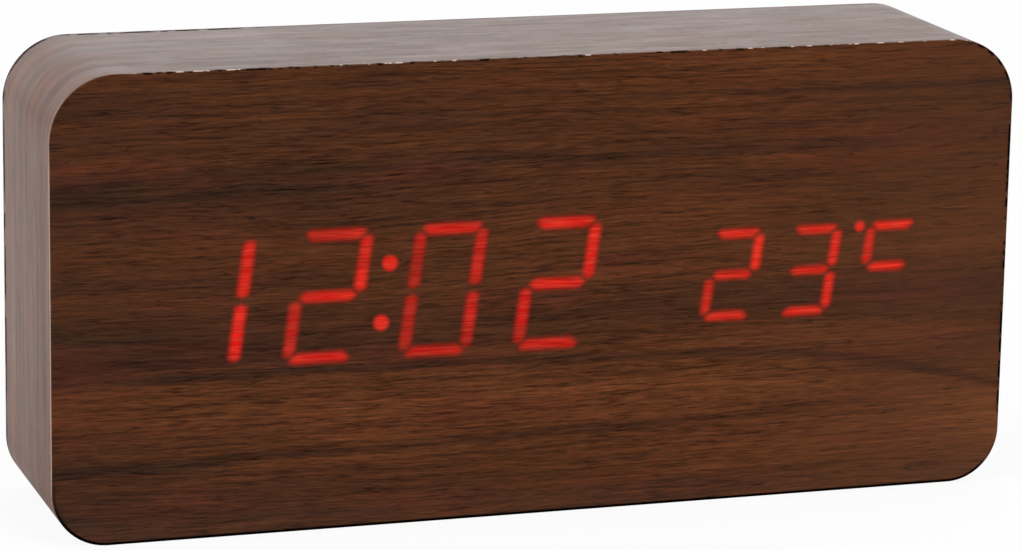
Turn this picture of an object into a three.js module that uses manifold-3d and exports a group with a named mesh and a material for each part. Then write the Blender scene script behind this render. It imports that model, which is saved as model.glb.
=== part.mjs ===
// Wooden digital clock: a veneered MDF block whose red seven-segment displays shine through the front.
// Millimetres, +Z up. The origin is the middle of the base, the front looks along -Y.
import * as THREE from 'three';
import { mergeVertices } from 'three/addons/utils/BufferGeometryUtils.js';
import Module from 'manifold-3d';

const wasm = await Module();
wasm.setup();

// Case, outside
const CASE_WIDTH = 150;
const CASE_DEPTH = 34;
const CASE_HEIGHT = 70;
const UPPER_CORNER_RADIUS = 9.8;
const LOWER_CORNER_RADIUS = 8.3;

// Wood: veneer sheets, the glue behind them, and the seam of the wrapped band
const VENEER_THICKNESS = 0.6;
const GLUE_LINE = 0.1;
const SEAM_GAP = 0.2;
const SEAM_X = -30;

// Routed pocket in the back: an outer rim, a ledge for the cover, and the pocket itself
const RIM_WIDTH = 4.6;
const LEDGE_WIDTH = 4.6;
const POCKET_RADIUS = 3;

// Clearances and cuts
const FIT = 0.3;
const SEAT_GAP = 0.1;
const OVERRUN = 1;

// Display modules
const MODULE_DEPTH = 8;
const MODULE_GAP = 0.2;
const MODULE_WALL = 1;
const MODULE_POTTING = 1.5;
const POTTING_GAP = 0.15;
const SEGMENT_GAP = 0.45;
const SLANT_SHARE = 0.14;

const TIME_EDGE_SHARE = 0.352;
const TIME_RISE = 0.6;
const TIME_WIDTH = 71;
const TIME_HEIGHT_SHARE = 0.538;
const TIME_DIGITS = 4;
const TIME_DIGIT_WIDTH_SHARE = 0.535;
const TIME_DIGIT_HEIGHT_SHARE = 0.681;
const TIME_STROKE = 2.1;
const COLON_DIAMETER = 2.4;
const COLON_SPACING_SHARE = 0.49;

const TEMPERATURE_EDGE_SHARE = 0.327;
const TEMPERATURE_RISE = 0.3;
const TEMPERATURE_WIDTH = 37.8;
const TEMPERATURE_HEIGHT_SHARE = 0.3785;
const TEMPERATURE_DIGITS = 3;
const TEMPERATURE_DIGIT_WIDTH_SHARE = 0.556;
const TEMPERATURE_DIGIT_HEIGHT_SHARE = 0.663;
const TEMPERATURE_STROKE = 1.65;
const DEGREE_DIAMETER = 1.6;
const DEGREE_SHARE = 0.5635;

// Circuit boards and what they carry
const BOARD_THICKNESS = 1.6;
const DISPLAY_BOARD_EDGE = 1.2;
const BOARD_SCREW_INSET = 3.6;
const CHIP_LENGTH = 10.3;
const CHIP_WIDTH = 7.5;
const CHIP_HEIGHT = 2.2;
const CHIP_STANDOFF = 0.2;
const LEAD_PITCH = 1.27;
const LEAD_WIDTH = 0.4;
const LEAD_REACH = 1.4;
const LEAD_THICKNESS = 0.25;
const LEAD_FOOT = 0.7;
const DRIVER_CHIP_X = 30;
const DRIVER_CHIP_RISE_SHARE = -0.377;
const CONNECTOR_WIDTH = 5;
const CONNECTOR_LENGTH_SHARE = 0.488;
const CONNECTOR_HEIGHT = 4;
const CONNECTOR_X = 3;
const CONNECTOR_SHIFT = 13;
const RIBBON_WIDTH_SHARE = 0.803;
const RIBBON_THICKNESS = 0.9;
const CONTROL_BOARD_WIDTH = 48;
const CONTROL_HEIGHT_SHARE = 0.518;
const CONTROL_BOARD_EDGE = 3.1;
const CONTROL_EDGE_SHARE = 0.108;
const CONTROL_FIXING_SHARE = 0.13;
const POST_DIAMETER = 5;
const POST_HEIGHT = 8.4;
const PEG_DIAMETER = 2;
const CLOCK_CHIP_X = -12;
const CLOCK_CHIP_RISE_SHARE = 0.21;
const CRYSTAL_DIAMETER = 3;
const CRYSTAL_LENGTH = 8.2;
const CRYSTAL_X = -13;
const CRYSTAL_RISE_SHARE = -0.23;
const COIN_SHARE = 0.769;
const COIN_THICKNESS = 3.2;
const COIN_WALL = 1.1;
const COIN_FLOOR = 0.8;
const COIN_STEP = 0.6;
const COIN_CAP_SHARE = 0.885;
const COIN_NOTCH = 7;
const COIN_X = 8;
const COIN_RISE_SHARE = 0.06;
const BUZZER_SHARE = 0.46;
const BUZZER_HEIGHT = 6.6;
const BUZZER_BORE = 2.2;
const BUZZER_BORE_DEPTH = 1.4;
const BUZZER_X = -12;
const BUZZER_RISE_SHARE = -0.21;
const MICROPHONE_DIAMETER = 6;
const MICROPHONE_HEIGHT = 2.7;
const MICROPHONE_PORT = 2;
const MICROPHONE_PORT_DEPTH = 0.4;
const MICROPHONE_X = -1;
const MICROPHONE_RISE_SHARE = -0.27;
const SENSOR_BEAD = 2.6;
const SENSOR_WIRE = 0.5;
const SENSOR_SPACING = 1.3;
const SENSOR_LENGTH = 6.4;
const SENSOR_X = 10;
const SENSOR_RISE_SHARE = -0.215;

// Push buttons and their switches
const BUTTON_PITCH = 13;
const BUTTON_RISE_SHARE = 0.23;
const BUTTON_DIAMETER = 6;
const BUTTON_FLANGE_DIAMETER = 8.4;
const BUTTON_FLANGE_THICKNESS = 1;
const BUTTON_STAND = 0.8;
const BUTTON_CROWN = 0.4;
const BUTTON_TRAVEL = 0.5;
const SWITCH_SIZE = 6;
const SWITCH_HEIGHT = 3.5;
const PLUNGER_DIAMETER = 3.4;
const PLUNGER_STAND = 1.5;
const PLUNGER_HIDDEN = 1.8;

// Rear cover
const COVER_RECESS = 1;
const COVER_THICKNESS = 2;
const COVER_SCREW_INSET = 3;
const SOUND_HOLE_DIAMETER = 1.6;
const SOUND_HOLE_RING = 3.2;
const SOUND_HOLE_COUNT = 6;
const VENT_WIDTH = 1.4;
const VENT_LENGTH = 8;
const VENT_PITCH = 3;
const VENT_COUNT = 3;

// Battery bay, in the cover
const CELL_LENGTH = 44.5;
const CELL_NUB_SHARE = 0.36;
const CELL_NUB_LENGTH = 1;
const CELL_EDGE = 0.5;
const CELL_COUNT = 3;
const BAY_WALL = 1.6;
const BAY_REBATE = 0.8;
const BAY_FLOOR = 1.2;
const BAY_EDGE_SHARE = 0.125;
const BAY_HEIGHT_SHARE = 0.7948;
const CRADLE_SHARE = 0.305;
const RIB_THICKNESS = 1;
const LATCH_SPACE = 6.2;

// Battery door
const DOOR_THICKNESS = 1.5;
const DOOR_CORNER = 1;
const DOOR_CELL_GAP = 0.5;
const TOE_WIDTH = 6;
const TOE_THICKNESS = 0.9;
const TOE_REACH = 1.8;
const TOE_ROOT = 1.6;
const TOE_SPACING = 30;
const LATCH_WIDTH = 9;
const LATCH_THICKNESS = 0.9;
const LATCH_BEND = 0.95;
const LATCH_DEPTH = 3.6;
const LATCH_SET = 1.2;
const LATCH_PAD = 0.9;
const LATCH_NIB = 1;
const GRIP_RIDGE = 0.4;
const GRIP_RIDGE_WIDTH = 0.8;
const GRIP_RIDGE_LENGTH = 12;
const GRIP_RIDGE_PITCH = 2;
const GRIP_RIDGE_COUNT = 4;
const FINGER_DISH_RADIUS = 5.5;
const FINGER_DISH_DEPTH = 1.1;

// Battery contacts, wound from one wire with their plates
const CONTACT_THICKNESS = 0.4;
const CONTACT_WIDTH_SHARE = 0.8;
const CONTACT_HEIGHT_SHARE = 0.876;
const CONTACT_DIMPLE = 0.6;
const DIMPLE_SHARE = 0.38;
const TAIL_WIDTH = 3;
const SPRING_LENGTH = 4.5;
const SPRING_WIRE = 0.6;
const SPRING_BASE_SHARE = 0.667;
const SPRING_TIP_SHARE = 0.42;
const SPRING_TURNS = 2.5;

// Power inlet
const JACK_X = 10;
const JACK_EDGE = 9.6;
const JACK_FLANGE_DIAMETER = 11;
const JACK_FLANGE_THICKNESS = 0.9;
const JACK_BARREL_DIAMETER = 8;
const JACK_LENGTH = 12.4;
const JACK_BORE_DIAMETER = 6.3;
const JACK_BORE_DEPTH = 9.6;
const JACK_PIN_DIAMETER = 2;
const JACK_PIN_SHY = 0.9;
const JACK_NUT_SIZE = 11;
const JACK_NUT_THICKNESS = 2;
const JACK_TAG_WIDTH = 1.6;
const JACK_TAG_THICKNESS = 0.5;
const JACK_TAG_LENGTH = 2.6;
const JACK_TAG_SPACING = 4;

// Screws
const COVER_SCREW_DIAMETER = 2.2;
const COVER_SCREW_LENGTH = 8;
const COVER_SCREW_HEAD = 4.2;
const COVER_SCREW_HEAD_HEIGHT = 1.3;
const BOARD_SCREW_DIAMETER = 2.2;
const BOARD_SCREW_LENGTH = 6.6;
const BOARD_SCREW_HEAD = 4.4;
const BOARD_SCREW_HEAD_HEIGHT = 1.5;
const DRIVE_WIDTH = 0.6;
const DRIVE_DEPTH = 0.7;
const DRIVE_SHARE = 0.62;
const TIP_SHARE = 0.3;

// Wires
const WIRE_DIAMETER = 1.4;
const WIRE_LIFT = 0.5;

// Facets
const CORNER_STEPS = 5;
const SMALL_STEPS = 2;
const ROUND_SIDES = 20;
const SMALL_SIDES = 10;
const WIRE_SIDES = 8;
const WIRE_STEPS_PER_POINT = 2;
const SPRING_SIDES = 5;
const SPRING_STEPS = 8;

// Planes across the depth
const FRONT_Y = -CASE_DEPTH / 2;
const BACK_Y = CASE_DEPTH / 2;
const VENEER_BACK_Y = FRONT_Y + VENEER_THICKNESS;
const BLOCK_FRONT_Y = VENEER_BACK_Y + GLUE_LINE;
const BACK_VENEER_Y = BACK_Y - VENEER_THICKNESS;
const BLOCK_BACK_Y = BACK_VENEER_Y - GLUE_LINE;
const MODULE_FRONT_Y = VENEER_BACK_Y + MODULE_GAP;
const MODULE_BACK_Y = MODULE_FRONT_Y + MODULE_DEPTH;
const DISPLAY_BOARD_Y = MODULE_BACK_Y + SEAT_GAP;
const DISPLAY_BOARD_BACK_Y = DISPLAY_BOARD_Y + BOARD_THICKNESS;
const POCKET_FLOOR_Y = MODULE_BACK_Y;
const COVER_Y = BACK_Y - COVER_RECESS;
const COVER_INNER_Y = COVER_Y - COVER_THICKNESS;
const LEDGE_Y = COVER_INNER_Y - SEAT_GAP;
const CONTROL_BACK_Y = COVER_INNER_Y - POST_HEIGHT;
const CONTROL_FRONT_Y = CONTROL_BACK_Y - BOARD_THICKNESS;
const DOOR_INNER_Y = COVER_Y - DOOR_THICKNESS;

// Outlines, each set in from the one outside it
const BLOCK_INSET = VENEER_THICKNESS + GLUE_LINE;
const RECESS_INSET = BLOCK_INSET + RIM_WIDTH;
const POCKET_INSET = RECESS_INSET + LEDGE_WIDTH;
const COVER_INSET = RECESS_INSET + FIT;
const POCKET_RIGHT = CASE_WIDTH / 2 - POCKET_INSET;
const POCKET_TOP = CASE_HEIGHT / 2 - POCKET_INSET;
const POCKET_HEIGHT = 2 * POCKET_TOP;

// Display modules, each with a share of the block's free width beside it
const FACE_FREE = CASE_WIDTH - 2 * BLOCK_INSET - TIME_WIDTH - TEMPERATURE_WIDTH;
const TIME_X = -CASE_WIDTH / 2 + BLOCK_INSET + FACE_FREE * TIME_EDGE_SHARE + TIME_WIDTH / 2;
const TEMPERATURE_RIGHT = CASE_WIDTH / 2 - BLOCK_INSET - FACE_FREE * TEMPERATURE_EDGE_SHARE;
const TEMPERATURE_X = TEMPERATURE_RIGHT - TEMPERATURE_WIDTH / 2;
const TIME_HEIGHT = POCKET_HEIGHT * TIME_HEIGHT_SHARE;
const TEMPERATURE_HEIGHT = POCKET_HEIGHT * TEMPERATURE_HEIGHT_SHARE;

// Battery bay, measured from the middle of the case height; the cells share what its latch leaves
const BAY_LENGTH = CELL_LENGTH + SPRING_LENGTH + CONTACT_DIMPLE + 2 * FIT;
const BAY_HEIGHT = POCKET_HEIGHT * BAY_HEIGHT_SHARE;
const CELL_ZONE = BAY_HEIGHT - RIB_THICKNESS - LATCH_SPACE;
const CELL_PITCH = (CELL_ZONE - FIT) / CELL_COUNT;
const CELL_DIAMETER = CELL_PITCH - FIT;
const POCKET_FREE = 2 * POCKET_RIGHT - BAY_LENGTH - 2 * BAY_WALL - CONTROL_BOARD_WIDTH;
const BAY_LEFT = -POCKET_RIGHT + POCKET_FREE * BAY_EDGE_SHARE + BAY_WALL;
const BAY_RIGHT = BAY_LEFT + BAY_LENGTH;
const BAY_X = (BAY_LEFT + BAY_RIGHT) / 2;
const BAY_BOTTOM = -BAY_HEIGHT / 2;
const BAY_TOP = BAY_HEIGHT / 2;
const CELL_TOP = BAY_BOTTOM + CELL_ZONE;
const DOOR_BOTTOM = BAY_BOTTOM - BAY_REBATE + FIT;
const DOOR_TOP = BAY_TOP + BAY_REBATE - FIT;
const DOOR_LEFT = BAY_LEFT - BAY_REBATE + FIT;
const DOOR_RIGHT = BAY_RIGHT + BAY_REBATE - FIT;
const CELL_Y = DOOR_INNER_Y - DOOR_CELL_GAP - CELL_DIAMETER / 2;
const BAY_FLOOR_Y = CELL_Y - CELL_DIAMETER / 2 - FIT;
const BAY_UNDERSIDE_Y = BAY_FLOOR_Y - BAY_FLOOR;

// Control board, from the top right corner of the pocket, and the inlet below it
const CONTROL_RIGHT = POCKET_RIGHT - POCKET_FREE * CONTROL_EDGE_SHARE;
const CONTROL_X = CONTROL_RIGHT - CONTROL_BOARD_WIDTH / 2;
const CONTROL_LEFT = CONTROL_RIGHT - CONTROL_BOARD_WIDTH;
const CONTROL_BOARD_HEIGHT = POCKET_HEIGHT * CONTROL_HEIGHT_SHARE;
const CONTROL_BOARD_Z = POCKET_TOP - CONTROL_BOARD_EDGE - CONTROL_BOARD_HEIGHT / 2;
const CONTROL_FIXING_INSET = CONTROL_BOARD_HEIGHT * CONTROL_FIXING_SHARE;
const CONNECTOR_LENGTH = CONTROL_BOARD_HEIGHT * CONNECTOR_LENGTH_SHARE;
const RIBBON_WIDTH = CONNECTOR_LENGTH * RIBBON_WIDTH_SHARE;
const BUZZER_DIAMETER = CONTROL_BOARD_HEIGHT * BUZZER_SHARE;
const COIN_DIAMETER = CONTROL_BOARD_HEIGHT * COIN_SHARE;
const JACK_Z = JACK_EDGE - POCKET_TOP;

// Wires run level below the bay and the control board
const WIRE_Y = Math.min(BAY_UNDERSIDE_Y, CONTROL_FRONT_Y - WIRE_DIAMETER) - WIRE_LIFT - WIRE_DIAMETER / 2;
const TAIL_Y = WIRE_Y - WIRE_DIAMETER / 2 - WIRE_LIFT;

// Finishes
const finish = (color, roughness, metalness = 0) =>
  new THREE.MeshStandardMaterial({ color, roughness, metalness });
const FACE_WOOD = 0x4b2818;
const SIDE_WOOD = 0x6b5647;
const BLOCK_BROWN = 0x9a7b58;
const BLACK_PLASTIC = 0x1b1b1c;
const BOARD_GREEN = 0x1f5a35;
const LIT_RED = 0xd8281e;
const CHIP_BLACK = 0x222226;
const STEEL = 0xc9cacb;
const NICKEL = 0xd8d5cc;
const WIRE_RED = 0xb3221c;
const WIRE_BLACK = 0x202020;
const CONNECTOR_WHITE = 0xe9e6dc;
const CELL_SKIN = 0x3f5f78;
const RIBBON_GREY = 0x8d8f92;

const clock = new THREE.Group();
const core = new THREE.Group();
core.position.z = CASE_HEIGHT / 2;
clock.add(core);

function place(name, geometry, material, x = 0, y = 0, z = 0) {
  const mesh = new THREE.Mesh(geometry, material);
  mesh.name = name;
  mesh.position.set(x, y, z);
  core.add(mesh);
  return mesh;
}

// Solids: a closed geometry becomes a manifold, and the result comes back flat shaded
function solidOf(geometry) {
  const bare = geometry.clone();
  bare.deleteAttribute('normal');
  bare.deleteAttribute('uv');
  const merged = mergeVertices(bare);
  const triangles = [];
  for (let i = 0; i < merged.index.count; i += 3) {
    const [a, b, c] = merged.index.array.slice(i, i + 3);
    if (a !== b && b !== c && c !== a) triangles.push(a, b, c);
  }
  const mesh = new wasm.Mesh({
    numProp: 3,
    vertProperties: Float32Array.from(merged.attributes.position.array),
    triVerts: Uint32Array.from(triangles),
  });
  return new wasm.Manifold(mesh);
}

function geometryOf(solid) {
  const mesh = solid.getMesh();
  const geometry = new THREE.BufferGeometry();
  geometry.setAttribute('position', new THREE.BufferAttribute(Float32Array.from(mesh.vertProperties), 3));
  geometry.setIndex(new THREE.BufferAttribute(Uint32Array.from(mesh.triVerts), 1));
  const flat = geometry.toNonIndexed();
  flat.computeVertexNormals();
  return flat;
}

// Joins closed geometries into one body, then takes the cutters out of it
function combine(parts, cutters = []) {
  let result = solidOf(parts[0]);
  for (const part of parts.slice(1)) result = result.add(solidOf(part));
  for (const cutter of cutters) result = result.subtract(solidOf(cutter));
  return geometryOf(result);
}

// Outlines
function roundedOutline(width, height, radius, x = 0, z = 0, lowerRadius = radius) {
  const right = x + width / 2;
  const left = x - width / 2;
  const top = z + height / 2;
  const bottom = z - height / 2;
  const shape = new THREE.Shape();
  shape.moveTo(left + lowerRadius, bottom);
  shape.lineTo(right - lowerRadius, bottom);
  shape.absarc(right - lowerRadius, bottom + lowerRadius, lowerRadius, -Math.PI / 2, 0, false);
  shape.lineTo(right, top - radius);
  shape.absarc(right - radius, top - radius, radius, 0, Math.PI / 2, false);
  shape.lineTo(left + radius, top);
  shape.absarc(left + radius, top - radius, radius, Math.PI / 2, Math.PI, false);
  shape.lineTo(left, bottom + lowerRadius);
  shape.absarc(left + lowerRadius, bottom + lowerRadius, lowerRadius, Math.PI, Math.PI * 3 / 2, false);
  return shape;
}

// The case outline, set in by a wall; its corners never get sharper than the router's own radius
function caseOutline(inset, leastRadius = 0) {
  const upper = Math.max(UPPER_CORNER_RADIUS - inset, leastRadius);
  const lower = Math.max(LOWER_CORNER_RADIUS - inset, leastRadius);
  return roundedOutline(CASE_WIDTH - 2 * inset, CASE_HEIGHT - 2 * inset, upper, 0, 0, lower);
}

function outlineOf(points) {
  return new THREE.Shape(points.map(([x, y]) => new THREE.Vector2(x, y)));
}

const EXTRUDE_TO_BACK = new THREE.Matrix4().makeBasis(
  new THREE.Vector3(1, 0, 0), new THREE.Vector3(0, 0, 1), new THREE.Vector3(0, -1, 0));
const EXTRUDE_ACROSS = new THREE.Matrix4().makeBasis(
  new THREE.Vector3(0, 1, 0), new THREE.Vector3(0, 0, 1), new THREE.Vector3(1, 0, 0));

function extrude(shape, depth, curveSegments = CORNER_STEPS) {
  return new THREE.ExtrudeGeometry(shape, { depth, curveSegments, steps: 1, bevelEnabled: false });
}

// A plate in the XZ plane between two depths
function plate(shape, front, back, curveSegments) {
  return extrude(shape, back - front, curveSegments).applyMatrix4(EXTRUDE_TO_BACK).translate(0, back, 0);
}

// A profile in the YZ plane, run across from left to right
function across(shape, left, right, curveSegments) {
  return extrude(shape, right - left, curveSegments).applyMatrix4(EXTRUDE_ACROSS).translate(left, 0, 0);
}

function box(left, right, front, back, bottom, top) {
  const geometry = new THREE.BoxGeometry(right - left, back - front, top - bottom);
  return geometry.translate((left + right) / 2, (front + back) / 2, (bottom + top) / 2);
}

// A round bar along the depth; a second radius at its back end makes a cone
function barY(radius, front, back, x = 0, z = 0, sides = ROUND_SIDES, backRadius = radius) {
  const geometry = new THREE.CylinderGeometry(backRadius, radius, back - front, sides);
  return geometry.translate(x, (front + back) / 2, z);
}

function barX(radius, left, right, y, z, sides = ROUND_SIDES) {
  const geometry = new THREE.CylinderGeometry(radius, radius, right - left, sides);
  return geometry.rotateZ(Math.PI / 2).translate((left + right) / 2, y, z);
}

function tube(points, diameter, sides, steps) {
  const path = new THREE.CatmullRomCurve3(points);
  const section = new THREE.Shape();
  for (let i = 0; i < sides; i += 1) {
    const angle = i * Math.PI * 2 / sides;
    const x = Math.cos(angle) * diameter / 2;
    const y = Math.sin(angle) * diameter / 2;
    if (i === 0) section.moveTo(x, y);
    else section.lineTo(x, y);
  }
  return new THREE.ExtrudeGeometry(section, { steps, extrudePath: path, bevelEnabled: false });
}

const vector = (x, y, z) => new THREE.Vector3(x, y, z);

// Front and back veneer sheets
place('front_veneer', plate(caseOutline(0), FRONT_Y, VENEER_BACK_Y), finish(FACE_WOOD, 0.5));

const backVeneerOutline = caseOutline(0);
backVeneerOutline.holes.push(caseOutline(RECESS_INSET));
place('back_veneer', plate(backVeneerOutline, BACK_VENEER_Y, BACK_Y), finish(FACE_WOOD, 0.5));

// Veneer band: a ring with its butt seam underneath
const bandOutline = caseOutline(0);
bandOutline.holes.push(caseOutline(VENEER_THICKNESS));
const seam = box(
  SEAM_X - SEAM_GAP / 2, SEAM_X + SEAM_GAP / 2, VENEER_BACK_Y - OVERRUN, BACK_VENEER_Y + OVERRUN,
  -CASE_HEIGHT / 2 - OVERRUN, -CASE_HEIGHT / 2 + VENEER_THICKNESS + OVERRUN);
const band = combine([plate(bandOutline, VENEER_BACK_Y, BACK_VENEER_Y)], [seam]);
place('side_veneer', band, finish(SIDE_WOOD, 0.42));

// Places that repeat
const coverScrewX = CASE_WIDTH / 2 - COVER_INSET - COVER_SCREW_INSET;
const coverScrewZ = CASE_HEIGHT / 2 - COVER_INSET - COVER_SCREW_INSET;
const corners = (x, z) => [[-x, -z], [x, -z], [x, z], [-x, z]];
const coverScrewPlaces = corners(coverScrewX, coverScrewZ);

const displayBoardWidth = CASE_WIDTH - 2 * (POCKET_INSET + DISPLAY_BOARD_EDGE);
const displayBoardHeight = CASE_HEIGHT - 2 * (POCKET_INSET + DISPLAY_BOARD_EDGE);
const boardScrewPlaces = corners(
  displayBoardWidth / 2 - BOARD_SCREW_INSET, displayBoardHeight / 2 - BOARD_SCREW_INSET);

// MDF block: routed recess and pocket from the back, windows for the modules, and screw pilots
const displayWindow = (x, rise, width, height) => box(
  x - width / 2 - FIT, x + width / 2 + FIT, BLOCK_FRONT_Y - OVERRUN, POCKET_FLOOR_Y + OVERRUN,
  rise - height / 2 - FIT, rise + height / 2 + FIT);
const coverScrewHole = COVER_SCREW_DIAMETER / 2 + SEAT_GAP;
const boardScrewHole = BOARD_SCREW_DIAMETER / 2 + SEAT_GAP;
const coverPilots = coverScrewPlaces.map(([x, z]) => barY(
  coverScrewHole, COVER_Y - COVER_SCREW_LENGTH - FIT, LEDGE_Y + OVERRUN, x, z, SMALL_SIDES));
const boardPilotEnd = DISPLAY_BOARD_BACK_Y - BOARD_SCREW_LENGTH - FIT;
const boardPilots = boardScrewPlaces.map(([x, z]) => barY(
  boardScrewHole, boardPilotEnd, POCKET_FLOOR_Y + OVERRUN, x, z, SMALL_SIDES));
place('case_body', combine([plate(caseOutline(BLOCK_INSET), BLOCK_FRONT_Y, BLOCK_BACK_Y)], [
  plate(caseOutline(RECESS_INSET), LEDGE_Y, BLOCK_BACK_Y + OVERRUN),
  plate(caseOutline(POCKET_INSET, POCKET_RADIUS), POCKET_FLOOR_Y, LEDGE_Y + OVERRUN),
  displayWindow(TIME_X, TIME_RISE, TIME_WIDTH, TIME_HEIGHT),
  displayWindow(TEMPERATURE_X, TEMPERATURE_RISE, TEMPERATURE_WIDTH, TEMPERATURE_HEIGHT),
  ...coverPilots,
  ...boardPilots,
]), finish(BLOCK_BROWN, 0.85));

// Seven-segment modules. Each row: how far across and up the digit the bar's middle lies
const SEGMENT_SHARES = [[0, 0.5], [0.5, 0.25], [0.5, -0.25], [0, -0.5], [-0.5, -0.25], [-0.5, 0.25], [0, 0]];

// One pointed bar of a digit, leaning with it
function barShape(digit, digitX, [acrossShare, upShare], grow) {
  const upright = acrossShare !== 0;
  const length = upright ? digit.height / 2 : digit.width;
  const half = length / 2 - SEGMENT_GAP + grow;
  const side = digit.stroke / 2 + grow;
  const middleX = digitX + acrossShare * digit.width;
  const middleZ = upShare * digit.height;
  const bar = [
    [-half, 0],
    [side - half, side],
    [half - side, side],
    [half, 0],
    [half - side, -side],
    [side - half, -side],
  ];
  const points = bar.map(([along, off]) => (
    upright ? [middleX - off, middleZ + along] : [middleX + along, middleZ + off]));
  return outlineOf(points.map(([x, z]) => [x + z * SLANT_SHARE, z]));
}

// Every opening of a module's face: the bars of all its digits and its round dots
function lightShapes(module, grow) {
  const shapes = [];
  for (let i = 0; i < module.count; i += 1) {
    const digitX = (i - (module.count - 1) / 2) * module.pitch;
    for (const share of SEGMENT_SHARES) shapes.push(barShape(module, digitX, share, grow));
  }
  for (const [x, z] of module.dots) {
    const dot = new THREE.Shape();
    dot.absarc(x + z * SLANT_SHARE, z, module.dotDiameter / 2 + grow, 0, Math.PI * 2, false);
    shapes.push(dot);
  }
  return shapes;
}

const timePitch = TIME_WIDTH / TIME_DIGITS;
const timeDigitHeight = TIME_HEIGHT * TIME_DIGIT_HEIGHT_SHARE;
const colonRise = timeDigitHeight * COLON_SPACING_SHARE / 2;
const temperaturePitch = TEMPERATURE_WIDTH / TEMPERATURE_DIGITS;
const temperatureDigitHeight = TEMPERATURE_HEIGHT * TEMPERATURE_DIGIT_HEIGHT_SHARE;
const modules = [
  {
    name: 'time_display',
    x: TIME_X,
    rise: TIME_RISE,
    caseWidth: TIME_WIDTH,
    caseHeight: TIME_HEIGHT,
    count: TIME_DIGITS,
    pitch: timePitch,
    width: timePitch * TIME_DIGIT_WIDTH_SHARE,
    height: timeDigitHeight,
    stroke: TIME_STROKE,
    dots: [[0, colonRise], [0, -colonRise]],
    dotDiameter: COLON_DIAMETER,
  },
  {
    name: 'temperature_display',
    x: TEMPERATURE_X,
    rise: TEMPERATURE_RISE,
    caseWidth: TEMPERATURE_WIDTH,
    caseHeight: TEMPERATURE_HEIGHT,
    count: TEMPERATURE_DIGITS,
    pitch: temperaturePitch,
    width: temperaturePitch * TEMPERATURE_DIGIT_WIDTH_SHARE,
    height: temperatureDigitHeight,
    stroke: TEMPERATURE_STROKE,
    dots: [[temperaturePitch * DEGREE_SHARE, temperatureDigitHeight / 2]],
    dotDiameter: DEGREE_DIAMETER,
  },
];

for (const module of modules) {
  const potFront = MODULE_DEPTH - MODULE_POTTING;
  const outline = (inset) => roundedOutline(
    module.caseWidth - 2 * inset, module.caseHeight - 2 * inset, MODULE_WALL);
  const openings = lightShapes(module, 0).map(
    (shape) => plate(shape, -OVERRUN, potFront + OVERRUN, SMALL_STEPS));
  const housing = combine(
    [plate(outline(0), 0, MODULE_DEPTH, SMALL_STEPS)],
    [plate(outline(MODULE_WALL), potFront, MODULE_DEPTH + OVERRUN, SMALL_STEPS), ...openings]);
  place(`${module.name}_housing`, housing, finish(CHIP_BLACK, 0.6), module.x, MODULE_FRONT_Y, module.rise);
  const posts = lightShapes(module, -POTTING_GAP).map(
    (shape) => plate(shape, 0, potFront + 2 * POTTING_GAP, SMALL_STEPS));
  const potting = plate(
    outline(MODULE_WALL + POTTING_GAP), potFront + POTTING_GAP, MODULE_DEPTH, SMALL_STEPS);
  const segments = combine([potting, ...posts]);
  place(`${module.name}_segments`, segments, finish(LIT_RED, 0.3), module.x, MODULE_FRONT_Y, module.rise);
}

// A screw along -Y, its head's seat or, when countersunk, its flat face at the origin
function screw(diameter, length, head, headHeight, countersunk) {
  const tip = diameter * TIP_SHARE;
  const shank = [[0, -length], [tip, -length], [diameter / 2, -length + diameter]];
  const sunk = [[diameter / 2, -headHeight], [head / 2, 0], [0, 0]];
  const raised = [
    [diameter / 2, 0],
    [head / 2, 0],
    [head / 2, headHeight / 2],
    [head / 2 - headHeight / 3, headHeight],
    [0, headHeight],
  ];
  const profile = [...shank, ...(countersunk ? sunk : raised)].map(([x, y]) => new THREE.Vector2(x, y));
  const top = countersunk ? 0 : headHeight;
  const reach = head * DRIVE_SHARE / 2;
  const slot = DRIVE_WIDTH / 2;
  return combine([new THREE.LatheGeometry(profile, SMALL_SIDES)], [
    box(-reach, reach, top - DRIVE_DEPTH, top + OVERRUN, -slot, slot),
    box(-slot, slot, top - DRIVE_DEPTH, top + OVERRUN, -reach, reach),
  ]);
}

// Display board, screwed to the floor of the pocket behind both modules
const boardHoles = boardScrewPlaces.map(([x, z]) => barY(
  boardScrewHole, DISPLAY_BOARD_Y - OVERRUN, DISPLAY_BOARD_BACK_Y + OVERRUN, x, z, SMALL_SIDES));
const displayBoardOutline = roundedOutline(displayBoardWidth, displayBoardHeight, POCKET_RADIUS);
place('display_board', combine(
  [plate(displayBoardOutline, DISPLAY_BOARD_Y, DISPLAY_BOARD_BACK_Y, SMALL_STEPS)], boardHoles),
  finish(BOARD_GREEN, 0.55));

const boardScrew = screw(
  BOARD_SCREW_DIAMETER, BOARD_SCREW_LENGTH, BOARD_SCREW_HEAD, BOARD_SCREW_HEAD_HEIGHT, false);
boardScrewPlaces.forEach(([x, z], i) => {
  place(`display_board_screw_${i + 1}`, boardScrew, finish(STEEL, 0.35, 0.9), x, DISPLAY_BOARD_BACK_Y, z);
});

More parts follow.
